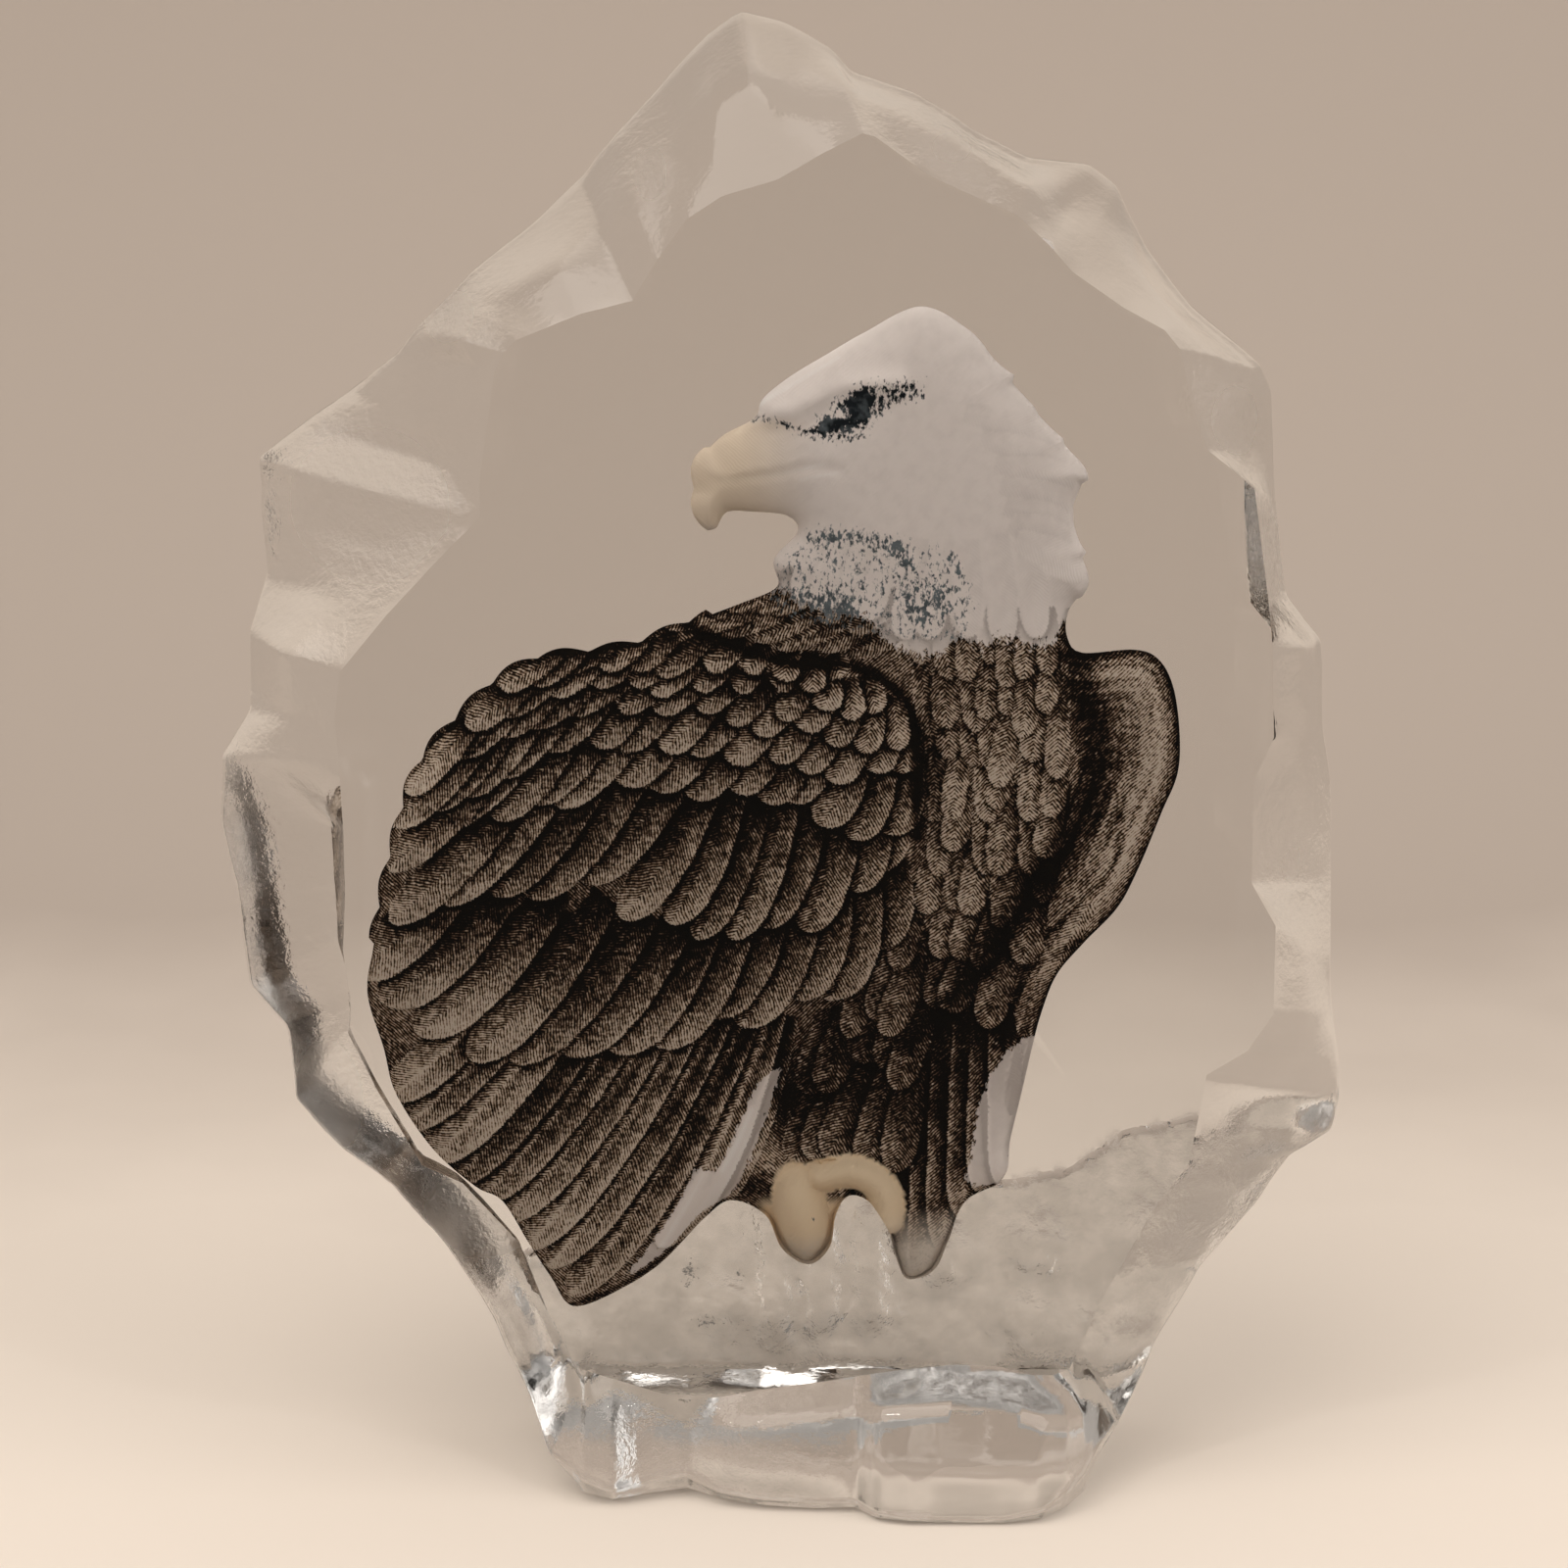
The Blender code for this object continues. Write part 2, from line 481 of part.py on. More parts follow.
def place_on(feather, x, z):
    """Shares along a feather, 0 at its root and 1 at its tip, and across it, 1 at its edges."""
    axis = feather.tip - feather.root
    length = np.hypot(*axis)
    s = ((x - feather.root[0]) * axis[0] + (z - feather.root[1]) * axis[1]) / length ** 2
    side = ((z - feather.root[1]) * axis[0] - (x - feather.root[0]) * axis[1]) / length
    return s, (side - bend_at(feather, s)) / half_width(feather, s)


def plumage(feathers, x, z):
    """Lift of the plumage at each point, and the number of the feather on top there, -1 for none."""
    lift = np.zeros(x.shape)
    top = np.full(x.shape, -1)
    for number, feather in enumerate(feathers):
        s, t = place_on(feather, x, z)
        on = (s > 0.0) & (s < 1.0) & (np.abs(t) < 1.0)
        height = FEATHER_LIFT * np.sqrt(feather.width / BIG_FEATHER)
        lift[on] = height * (ROOT_LIFT + (1.0 - ROOT_LIFT) * s[on]) * (1.0 - EDGE_FALL * t[on] ** 2)
        top[on] = number
    return lift, top


def feather_lines(feathers):
    """Lines inside and outside the edges of each feather, and down its middle, where they show."""
    lines = []
    for number, feather in enumerate(feathers):
        axis = feather.tip - feather.root
        length = np.hypot(*axis)
        axis = axis / length
        normal = np.array([-axis[1], axis[0]])
        big = feather.width > BIG_FEATHER
        stops = BIG_STOPS if big else SMALL_STOPS
        round_the_edge = [(-1, s) for s in stops] + [(0, 1.0)] + [(1, s) for s in reversed(stops)]
        seen_from = None
        for gap in (-EDGE_GAP, EDGE_GAP):
            line = []
            for side, s in round_the_edge:
                reach = side * (half_width(feather, s) + gap) + bend_at(feather, s)
                ahead = gap if side == 0 else gap * max(0.0, s - ROUND_FROM)
                line.append(feather.root + axis * (s * length + ahead) + normal * reach)
            seen_from = np.array(line) if seen_from is None else seen_from
            lines.append((number, seen_from, np.array(line)))
        if big:
            crown = [feather.root + axis * s * length + normal * bend_at(feather, s) for s in CROWN_STOPS]
            lines.append((number, np.array(crown), np.array(crown)))
    return shown_pieces(feathers, lines)


def shown_pieces(feathers, lines):
    """The stretches of the feathers' lines where each feather is on top at the places it is seen from."""
    seen_from = np.concatenate([seen for _, seen, _ in lines])
    _, top = plumage(feathers, seen_from[:, 0], seen_from[:, 1])
    pieces = []
    at = 0
    for number, _, line in lines:
        pieces.append([])
        for point, owner in zip(line, top[at:at + len(line)]):
            if owner == number:
                pieces[-1].append(point)
            elif pieces[-1]:
                pieces.append([])
        at += len(line)
    return [piece for piece in pieces if piece]


# Height of the carving over the back plane

def eagle_height(feathers, outline, x, z):
    """Height of the eagle at the points (x, z), from its body, limbs and feathers."""
    edge, _ = distance_to(outline, x, z)
    height = EDGE_STEP + BODY_RISE * rounded(edge / (BODY_REACH / MM))
    reach, within = distance_to(smooth_line(NEAR_WING, OUTLINE_STEP, True), x, z)
    height += np.where(within, WING_RISE * rounded(reach / (WING_REACH / MM)), 0.0)
    reach, within = distance_to(smooth_line(FAR_WING, OUTLINE_STEP, True), x, z)
    height -= np.where(within, FAR_WING_DROP * np.clip(reach / LIMB_BLEND, 0.0, 1.0), 0.0)
    reach, _ = distance_to(smooth_line(LEADING_ROLL, OUTLINE_STEP, False), x, z, closed=False)
    roll = LEADING_ROLL_RISE * bump(reach, LEADING_ROLL_WIDTH)
    height += np.where(within, roll, 0.0)
    reach, within = distance_to(smooth_line(TAIL, OUTLINE_STEP, True), x, z)
    height -= np.where(within, TAIL_DROP * np.clip(reach / LIMB_BLEND, 0.0, 1.0), 0.0)
    lift, _ = plumage(feathers, x, z)
    height += lift * np.clip(edge / PLUMAGE_BLEND, 0.0, 1.0)
    height += head_height(x, z)
    return np.maximum(height, toe_height(x, z))


def head_height(x, z):
    """What the brow, the eye and the line of the mouth add to the head."""
    brow, _ = distance_to(smooth_line(BROW, OUTLINE_STEP, False), x, z, closed=False)
    gape, _ = distance_to(smooth_line(GAPE, OUTLINE_STEP, False), x, z, closed=False)
    eye = np.hypot(x - EYE[0], z - EYE[1])
    return (BROW_RISE * bump(brow, BROW_WIDTH) - GAPE_DEPTH * bump(gape, GAPE_WIDTH)
            - SOCKET_DEPTH * bump(eye, SOCKET_SIZE) + EYE_RISE * bump(eye, EYE_SIZE))


def toe_height(x, z):
    """Height of the toe in front and of the one that curls round the perch."""
    above = z - TOE[1]
    beside = x - TOE[0] + TOE_LEAN * above
    front = (beside / TOE_HALF_WIDTH) ** 2 + (above / TOE_HALF_HEIGHT) ** 2
    height = TOE_RISE * np.sqrt(np.clip(1.0 - front, 0.0, 1.0))
    side, _ = distance_to(smooth_line(SIDE_TOE, OUTLINE_STEP, False), x, z, closed=False)
    curled = SIDE_TOE_SHARE * TOE_RISE * np.sqrt(np.clip(1.0 - (side / SIDE_TOE_WIDTH) ** 2, 0.0, 1.0))
    return np.maximum(height, curled)


def perch_height(x, z, back_edge):
    """Height of the rough ice that the eagle stands on, which runs out at the back edge."""
    lumps = np.zeros(x.shape)
    spots = np.random.default_rng(11).uniform(*PERCH_BOX, size=(PERCH_LUMPS, 2))
    for spot in spots:
        lumps = np.maximum(lumps, 1.0 - np.hypot(x - spot[0], z - spot[1]) / PERCH_LUMP_REACH)
    ridges = np.zeros(x.shape)
    for middle, width in PERCH_RIDGES:
        ridges = np.maximum(ridges, np.sqrt(np.clip(1.0 - ((x - middle) / width) ** 2, 0.0, 1.0)))
    ridges *= rounded((PERCH_RIDGE_TOP - z) / PERCH_RIDGE_ROUNDING)
    ridges *= np.clip((z - PERCH_RIDGE_FOOT) / PERCH_RIDGE_FADE, 0.0, 1.0)
    line = np.interp(x, *np.array(LEDGE_LINE).T)
    below = np.clip((line - z) / LEDGE_FALL, 0.0, 1.0)
    taper, _ = distance_to(back_edge, x, z)
    height = PERCH_STEP + np.maximum(PERCH_LUMP_RISE * lumps, PERCH_RIDGE_RISE * ridges)
    return height * below * rounded(taper / (PERCH_TAPER / MM))


# The block's rim and foot

WINDOW_Y = -SLAB_THICKNESS / 2
BACK_Y = SLAB_THICKNESS / 2
RIDGE_RINGS = (3, 4)


def rim_rings(station, place, depth):
    """Points from the window's edge over the ridge to the back's edge, at a station of the rim.

    The bevel in front bends at a share of its width (place) and of its depth (depth).
    """
    window = np.array([across(station.window_x), up(station.window_z)])
    outer = np.array([across(station.outer_x), up(station.outer_z)])
    centre = np.array([across(DRAWN_CENTRE[0]), up(DRAWN_CENTRE[1])])
    outward = (outer - centre) / np.hypot(*(outer - centre))
    ridge = WINDOW_Y + station.ridge * SLAB_THICKNESS
    front = ridge - station.spread * MM
    back = ridge + station.spread * MM
    middle = window + place * (outer - window)
    near = outer - RIDGE_INSET * outward
    return [
        (*window, WINDOW_Y),
        (*middle, WINDOW_Y + depth * (front - WINDOW_Y)),
        (*near, WINDOW_Y + NEAR_RIDGE_DEPTH * (front - WINDOW_Y)),
        (*outer, front),
        (*outer, back),
        (*(outer - BACK_BEND[0] * BACK_INSET * outward), back + BACK_BEND[1] * (BACK_Y - back)),
        (*(outer - BACK_INSET * outward), BACK_Y),
    ]


def foot_rings(station):
    """Points from the ledge over the step, the front and the underside to the back's lower edge."""
    x = across(station.foot_x)
    front = WINDOW_Y - station.front * FOOT_FRONT_REACH
    back = BACK_Y + station.back * FOOT_BACK_REACH
    chip = up(station.chip)
    return [
        (across(station.window_x), up(station.window_z), WINDOW_Y),
        (x, up(station.top_z), front + STEP_LEAN),
        (x, chip, front),
        (x, 0.0, front + chip + UNDERSIDE_SETBACK / 2),
        (x, 0.0, back - UNDERSIDE_SETBACK),
        (x, BACK_FOOT_HEIGHT, back),
        (x, BACK_FOOT_TOP, BACK_Y),
    ]


def rim_columns():
    """Columns of points round the block, with more where its stations are far apart.

    Where the window runs along the eagle, the bevel drops steeply and then runs out as a flat flange.
    """
    rng = np.random.default_rng(9)
    bends = [(rng.uniform(*BEVEL_PLACES), rng.uniform(*BEVEL_DEPTHS)) for _ in RIM]
    window_x = np.array([station.window_x for station in RIM])
    window_z = np.array([station.window_z for station in RIM])
    beside, _ = distance_to(smooth_line(EAGLE, OUTLINE_STEP, True), window_x, window_z)
    bends = [FLANGE_BEND if reach < FLANGE_REACH else bend for bend, reach in zip(bends, beside)]
    stations = [rim_rings(station, *bend) for station, bend in zip(RIM, bends)]
    stations += [foot_rings(station) for station in FOOT]
    stations = np.array(stations)[:, :, [0, 2, 1]]
    columns = []
    for here, there in zip(stations, np.roll(stations, -1, axis=0)):
        pieces = max(1, round(float(np.linalg.norm(there[3] - here[3])) / AROUND_STEP))
        columns.extend(here + (there - here) * share / pieces for share in range(pieces))
    return np.array(columns + [columns[0]])


def chip_rim(bm, kept):
    """Press shallow dishes into the bevels, as chipping leaves them, but not into the kept vertices."""
    rng = np.random.default_rng(5)
    verts = [v for v in bm.verts if WINDOW_Y < v.co.y < BACK_Y and v.index not in kept and v.co.z > 0.0]
    places = np.array([v.co for v in verts])
    seeds = places[rng.integers(0, len(places), CHIP_COUNT)]
    nearest = np.min(np.linalg.norm(places[:, None] - seeds[None], axis=2), axis=1)
    depths = CHIP_DEPTH * np.clip(1.0 - (nearest / CHIP_REACH) ** 2, 0.0, 1.0)
    for vert, depth in zip(verts, depths):
        vert.co -= vert.normal * depth


def carved_back(bm, edge_verts):
    """Fill the back's edge with the flat back face, the eagle carved into it and its perch."""
    to_drawing = np.array([DRAWN_WIDTH / BLOCK_WIDTH, DRAWN_HEIGHT / BLOCK_HEIGHT])
    if turns_clockwise(edge_verts):
        edge_verts = edge_verts[::-1]
    back_edge = np.array([(v.co.x, v.co.z) for v in edge_verts]) * to_drawing
    outline = smooth_line(EAGLE, OUTLINE_STEP, True)
    feathers = all_feathers()
    inner = offset_loop(outline, -EDGE_GAP)
    outer = offset_loop(outline, EDGE_GAP)
    carving, joined = carving_points(feathers, outline, back_edge)
    places = np.concatenate([back_edge, inner, outer, carving])
    rim_count, loop_count = len(back_edge), len(inner)
    carving_from = rim_count + 2 * loop_count
    edges = [(rim_count + i, rim_count + (i + 1) % loop_count) for i in range(loop_count)]
    edges += [(carving_from + i, carving_from + j) for i, j in joined]
    corners = [Vector(place) for place in places]
    rim_face = list(range(rim_count))
    verts, _, faces, origins, _, parents = delaunay_2d_cdt(corners, edges, [rim_face], 0, 1e-6, True)
    flat = np.array([(v.x, v.y) for v in verts])
    _, on_eagle = distance_to(outline, flat[:, 0], flat[:, 1])
    heights = np.where(on_eagle,
                       eagle_height(feathers, outline, flat[:, 0], flat[:, 1]),
                       perch_height(flat[:, 0], flat[:, 1], back_edge))
    made = []
    for index, (place, height) in enumerate(zip(flat, heights)):
        rim_index = next((o for o in origins[index] if o < rim_count), None)
        if rim_index is None:
            made.append(bm.verts.new((across(place[0]), BACK_Y - height, up(place[1]))))
        else:
            made.append(edge_verts[rim_index])
    for face, parent in zip(faces, parents):
        if parent:
            bm.faces.new([made[index] for index in face])


def turns_clockwise(loop):
    """Whether a loop of vertices turns clockwise, seen with X to the right and Z up."""
    return sum(a.co.x * b.co.z - b.co.x * a.co.z for a, b in zip(loop, loop[1:] + loop[:1])) < 0.0


def carving_points(feathers, outline, back_edge):
    """Points of the carving, none too close to another, and the pairs of them that the mesh joins."""
    low, high = back_edge.min(axis=0), back_edge.max(axis=0)
    carving = face_lines(outline) + feather_lines(feathers)
    carving += [[point] for point in grid_points((low[0], HEAD_FROM), high, HEAD_STEP)]
    carving += [[point] for point in grid_points(*FACE_BOX, FACE_STEP)]
    carving += [[point] for point in grid_points(*TOE_BOX, TOE_STEP)]
    roll = smooth_line(LEADING_ROLL, 2 * LINE_STEP, False)
    carving += [roll + (shift, 0.0) for shift in ROLL_SHIFTS]
    carving.append(smooth_line(SIDE_TOE, LINE_STEP, False))
    kept, joined, taken = [], [], {}
    for lines, on_eagle in ((carving, True), (perch_lines(low, high), False)):
        points = np.concatenate(lines)
        clear, within = distance_to(outline, points[:, 0], points[:, 1])
        room, on_back = distance_to(back_edge, points[:, 0], points[:, 1])
        clearance = EAGLE_CLEARANCE if on_eagle else PERCH_CLEARANCE
        fits = (within == on_eagle) & (clear > clearance) & on_back & (room > RIM_CLEARANCE)
        starts = set(np.cumsum([0] + [len(line) for line in lines]))
        last = None
        for number, (point, fit) in enumerate(zip(points, fits)):
            index = place_apart(point, kept, taken) if fit else None
            if index is not None and last is not None and number not in starts:
                joined.append((last, index))
            last = index
    return np.array(kept), joined


def face_lines(outline):
    """Lines along the brow, the mouth and the crown, and round the eye."""
    lines = []
    for points, width in ((BROW, BROW_WIDTH), (GAPE, GAPE_WIDTH)):
        middle = smooth_line(points, LINE_STEP, False)
        lines += [middle + (0.0, shift * width) for shift in FACE_LINE_SHIFTS]
    turns = np.linspace(0.0, 2 * np.pi, 9)
    lines.append([np.array(EYE)])
    for size in (EYE_SIZE, SOCKET_SIZE):
        lines.append(np.array(EYE) + 0.5 * size * np.stack([np.cos(turns), np.sin(turns)], axis=1))
    for depth in HEAD_RINGS:
        ring = offset_loop(outline, -depth)
        lines += [[point] for point in ring if point[1] > HEAD_FROM]
    return lines


def perch_lines(low, high):
    """Lines along the perch's upper edge and its ridges, and points spread over the rest of it."""
    rng = np.random.default_rng(2)
    ledge = smooth_line(LEDGE_LINE, LINE_STEP, False)
    lines = [ledge - (0.0, LEDGE_FALL), ledge]
    column = np.arange(PERCH_RIDGE_FOOT, PERCH_RIDGE_TOP, 2 * LINE_STEP)
    for middle, width in PERCH_RIDGES:
        lines += [[np.array([middle + side * width, z]) for z in column] for side in RIDGE_LINES]
    spread = grid_points(low, (high[0], PERCH_TOP), PERCH_STEP_APART)
    lines += [[point + rng.uniform(-PERCH_JITTER, PERCH_JITTER, 2)] for point in spread]
    return lines


def grid_points(low, high, step):
    """Points of a square grid between two corners."""
    columns, rows = np.arange(low[0], high[0], step), np.arange(low[1], high[1], step)
    return [np.array([x, z]) for x in columns for z in rows]


def place_apart(point, kept, taken):
    """Keep a point if none that is kept lies too close, and give its number, or None."""
    cell = (int(point[0] // LEAST_APART), int(point[1] // LEAST_APART))
    near = [q for i in (-1, 0, 1) for j in (-1, 0, 1) for q in taken.get((cell[0] + i, cell[1] + j), ())]
    if any(np.hypot(*(point - q)) <= LEAST_APART for q in near):
        return None
    taken.setdefault(cell, []).append(point)
    kept.append(point)
    return len(kept) - 1


def crystal_block():
    """The whole block: rim and foot, polished window and carved back, as one closed solid."""
    columns = rim_columns()
    around, across_rim = columns.shape[0] - 1, columns.shape[1] - 1
    bm = bmesh.new()
    bmesh.ops.create_grid(bm, x_segments=around, y_segments=across_rim, size=0.5)
    bm.verts.ensure_lookup_table()
    spots = [(round((v.co.x + 0.5) * around), round((v.co.y + 0.5) * across_rim)) for v in bm.verts]
    for vert, (column, ring) in zip(bm.verts, spots):
        vert.co = columns[column][ring]
    on_ridge = {vert for vert, (_, ring) in zip(bm.verts, spots) if ring in RIDGE_RINGS}
    bmesh.ops.remove_doubles(bm, verts=bm.verts, dist=1e-6)
    bmesh.ops.recalc_face_normals(bm, faces=bm.faces)
    bm.verts.index_update()
    ridge = {v.index for v in bm.verts if v in on_ridge}
    window_verts, back_verts = edge_loops(bm)
    bm.normal_update()
    chip_rim(bm, ridge | {v.index for v in window_verts + back_verts})
    bm.faces.new(window_verts)
    carved_back(bm, back_verts)
    bmesh.ops.recalc_face_normals(bm, faces=bm.faces)
    centre_on_ground(bm)
    return bm


def edge_loops(bm):
    """The two open loops of the rim, at the window and at the back, each in order."""
    open_edges = {e for e in bm.edges if e.is_boundary}
    loops = []
    while open_edges:
        edge = open_edges.pop()
        loop = [edge.verts[0], edge.verts[1]]
        while True:
            step = next((e for e in loop[-1].link_edges if e in open_edges), None)
            if step is None:
                break
            open_edges.remove(step)
            loop.append(step.other_vert(loop[-1]))
        loops.append(loop[:-1])
    return sorted(loops, key=lambda loop: loop[0].co.y)


def centre_on_ground(bm):
    """Put the middle of the block's box over the origin, with its underside on the ground."""
    places = np.array([v.co for v in bm.verts])
    low, high = places.min(axis=0), places.max(axis=0)
    middle = (low + high) / 2
    bmesh.ops.translate(bm, verts=bm.verts, vec=(-middle[0], -middle[1], -low[2]))


def crystal_material():
    """Clear cast crystal."""
    material = bpy.data.materials.new("crystal")
    material.use_nodes = True
    shader = material.node_tree.nodes["Principled BSDF"]
    shader.inputs["Base Color"].default_value = CRYSTAL_COLOUR
    shader.inputs["Metallic"].default_value = 0.0
    shader.inputs["Roughness"].default_value = 0.03
    shader.inputs["IOR"].default_value = 1.52
    shader.inputs["Transmission Weight"].default_value = 1.0
    return material


def main():
    """Clear the scene and model the block."""
    for old in list(bpy.data.objects):
        bpy.data.objects.remove(old)
    bm = crystal_block()
    mesh = bpy.data.meshes.new("crystal_block")
    bm.to_mesh(mesh)
    bm.free()
    block = bpy.data.objects.new("crystal_block", mesh)
    block.data.materials.append(crystal_material())
    bpy.context.scene.collection.objects.link(block)


main()
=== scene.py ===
"""Looks of a cast crystal block like chipped ice, with a perched bald eagle carved into its back.

Everything is in metres in the row frame: the polished window faces -Y and the carved, painted back +Y.
Shapes are drawn in millimetres, as seen through the window, and placed by the box of the solid that they
stand for.
"""
import logging
import math
from dataclasses import dataclass, field
from enum import Enum
from typing import Iterable, Sequence

import bmesh
import bpy
import numpy as np
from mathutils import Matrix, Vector
from mathutils.geometry import delaunay_2d_cdt
from mathutils.kdtree import KDTree


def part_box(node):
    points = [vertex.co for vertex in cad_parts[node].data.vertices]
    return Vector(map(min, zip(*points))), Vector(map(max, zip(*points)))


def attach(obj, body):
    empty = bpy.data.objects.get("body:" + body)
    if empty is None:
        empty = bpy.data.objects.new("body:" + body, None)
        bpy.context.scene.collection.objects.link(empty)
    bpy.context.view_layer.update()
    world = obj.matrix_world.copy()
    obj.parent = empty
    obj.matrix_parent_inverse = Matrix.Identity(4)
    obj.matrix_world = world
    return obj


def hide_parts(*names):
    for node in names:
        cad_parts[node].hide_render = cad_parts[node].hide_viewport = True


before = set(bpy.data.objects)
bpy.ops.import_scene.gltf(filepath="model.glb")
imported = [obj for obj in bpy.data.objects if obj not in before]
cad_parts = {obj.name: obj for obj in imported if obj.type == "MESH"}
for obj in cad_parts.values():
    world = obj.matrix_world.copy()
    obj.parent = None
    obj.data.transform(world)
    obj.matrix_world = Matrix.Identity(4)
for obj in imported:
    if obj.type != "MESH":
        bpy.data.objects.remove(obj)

MM = 0.001
BLOCK_NODE = "crystal_block"
BODY = "root"

Point = tuple[float, float]
Line = tuple[Point, ...]


class Slot(Enum):
    """The record's material slots."""

    CRYSTAL = "crystal"
    STAIN = "brown_stain"
    FROST = "white_frost"
    CREAM = "cream_coat"


class Seed(Enum):
    """Where each run of random draws starts."""

    FEATHERS = 3
    GRID = 4
    CHIPS = 5
    DIMPLES = 6
    LIGHTS = 8
    BEVELS = 9
    LUMPS = 11
    RIPPLES = 12

    def rng(self) -> np.random.Generator:
        """A fresh generator."""
        return np.random.default_rng(self.value)


# Lines and shares

def smooth_line(points: Sequence[Point], step: float, closed: bool) -> np.ndarray:
    """Points about a step apart on a smooth curve through the given ones.

    Args:
        points: The points that the curve passes.
        step: Distance between the new points.
        closed: Whether the curve comes back to its first point.

    Returns:
        The new points, one to a row.
    """
    given = np.array(points, float)
    count = len(given)
    spans = count if closed else count - 1
    line = []
    for i in range(spans):
        near = [(i + k) % count if closed else min(max(i + k, 0), count - 1) for k in (-1, 0, 1, 2)]
        before, start, end, after = given[near]
        pieces = max(1, round(float(np.hypot(*(end - start))) / step))
        for t in np.arange(pieces) / pieces:
            line.append(0.5 * (2 * start + (end - before) * t
                               + (2 * before - 5 * start + 4 * end - after) * t ** 2
                               + (3 * start - before - 3 * end + after) * t ** 3))
    if not closed:
        line.append(given[-1])
    return np.array(line)


def distance_to(line: np.ndarray, x: np.ndarray, z: np.ndarray,
                closed: bool = True) -> tuple[np.ndarray, np.ndarray]:
    """Distance of points to a line, and which of them it encloses.

    Args:
        line: The line's corners, one to a row.
        x: First coordinates of the points.
        z: Second coordinates of the points.
        closed: Whether the last corner is joined to the first.

    Returns:
        The distances, and a mask of the points inside.
    """
    nearest = np.full(x.shape, np.inf)
    inside = np.zeros(x.shape, bool)
    ends = np.roll(line, -1, axis=0) if closed else line[1:]
    for (ax, az), (bx, bz) in zip(line, ends):
        dx, dz = bx - ax, bz - az
        t = np.clip(((x - ax) * dx + (z - az) * dz) / max(dx * dx + dz * dz, 1e-12), 0, 1)
        nearest = np.minimum(nearest, np.hypot(x - ax - t * dx, z - az - t * dz))
        if az != bz:
            inside ^= ((az > z) != (bz > z)) & (x < dx * (z - az) / dz + ax)
    return nearest, inside


def signed_depth(shape: Sequence[Point], x: np.ndarray, z: np.ndarray, step: float = 1.5) -> np.ndarray:
    """How deep points lie inside a smooth closed shape, negative outside it."""
    reach, inside = distance_to(smooth_line(shape, step, True), x, z)
    return np.where(inside, reach, -reach)


def reach_to(line: Sequence[Point], x: np.ndarray, z: np.ndarray, step: float = 1.5) -> np.ndarray:
    """Distance of points to a smooth open line."""
    return distance_to(smooth_line(line, step, False), x, z, closed=False)[0]


def cover_of(shape: Sequence[Point], x: np.ndarray, z: np.ndarray, softness: float,
             middle: float = 0.5) -> np.ndarray:
    """Cover of a smooth closed shape, from 0 to 1, with the middle value on its soft edge."""
    return np.clip(middle + signed_depth(shape, x, z) / softness, 0.0, 1.0)


def offset_loop(loop: np.ndarray, distance: float) -> np.ndarray:
    """The points of a clockwise loop moved outwards by a distance."""
    ahead = np.roll(loop, -1, axis=0) - np.roll(loop, 1, axis=0)
    ahead /= np.hypot(ahead[:, 0], ahead[:, 1])[:, None]
    return loop + np.stack([-ahead[:, 1], ahead[:, 0]], axis=1) * distance


def rounded(share: np.ndarray) -> np.ndarray:
    """Rise of a rounded form: 0 at its edge, 1 where the share reaches 1."""
    return np.sqrt(np.clip(1.0 - (1.0 - np.clip(share, 0.0, 1.0)) ** 2, 0.0, 1.0))


def bump(distance: np.ndarray, width: float) -> np.ndarray:
    """A soft bump of height 1 around a line or point."""
    return np.exp(-(distance / width) ** 2)


def eased(share: np.ndarray) -> np.ndarray:
    """A share between 0 and 1 with soft ends."""
    share = np.clip(share, 0.0, 1.0)
    return share * share * (3.0 - 2.0 * share)


def along(points: Sequence[Point], share: float) -> np.ndarray:
    """The place on a line at a share of the way through its points, whose spans all count the same."""
    line = np.array(points, float)
    at = share * (len(line) - 1)
    marks = np.arange(len(line))
    return np.array([np.interp(at, marks, line[:, 0]), np.interp(at, marks, line[:, 1])])


# The drawing and its place

@dataclass(frozen=True)
class Drawing:
    """The frame in which the shapes are drawn, in millimetres, and where it lies on the block."""

    middle_x: float = 0.5
    centre: Point = (4.0, 112.0)
    slab: float = 38 * MM
    foot_front: float = 14 * MM
    foot_back: float = 8 * MM

    @property
    def window_y(self) -> float:
        """Where the polished window lies, before the block is placed."""
        return -self.slab / 2

    @property
    def back_y(self) -> float:
        """Where the back plane lies, before the block is placed."""
        return self.slab / 2

    def shift(self) -> Vector:
        """What moves the drawn block to the place of its solid."""
        low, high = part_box(BLOCK_NODE)
        middle = (low + high) / 2
        drawn_y = (self.window_y - self.foot_front + self.back_y + self.foot_back) / 2
        return Vector((middle.x - self.middle_x * MM, middle.y - drawn_y, low.z))


@dataclass(frozen=True)
class RimStation:
    """One place round the rim, in drawn millimetres."""

    window: Point
    outer: Point
    ridge: float
    spread: float


@dataclass(frozen=True)
class FootStation:
    """One place along the foot: its ledge, its edge on the ground, the step and the chipped front."""

    ledge: Point
    foot_x: float
    step_z: float
    front: float
    chip: float
    back: float


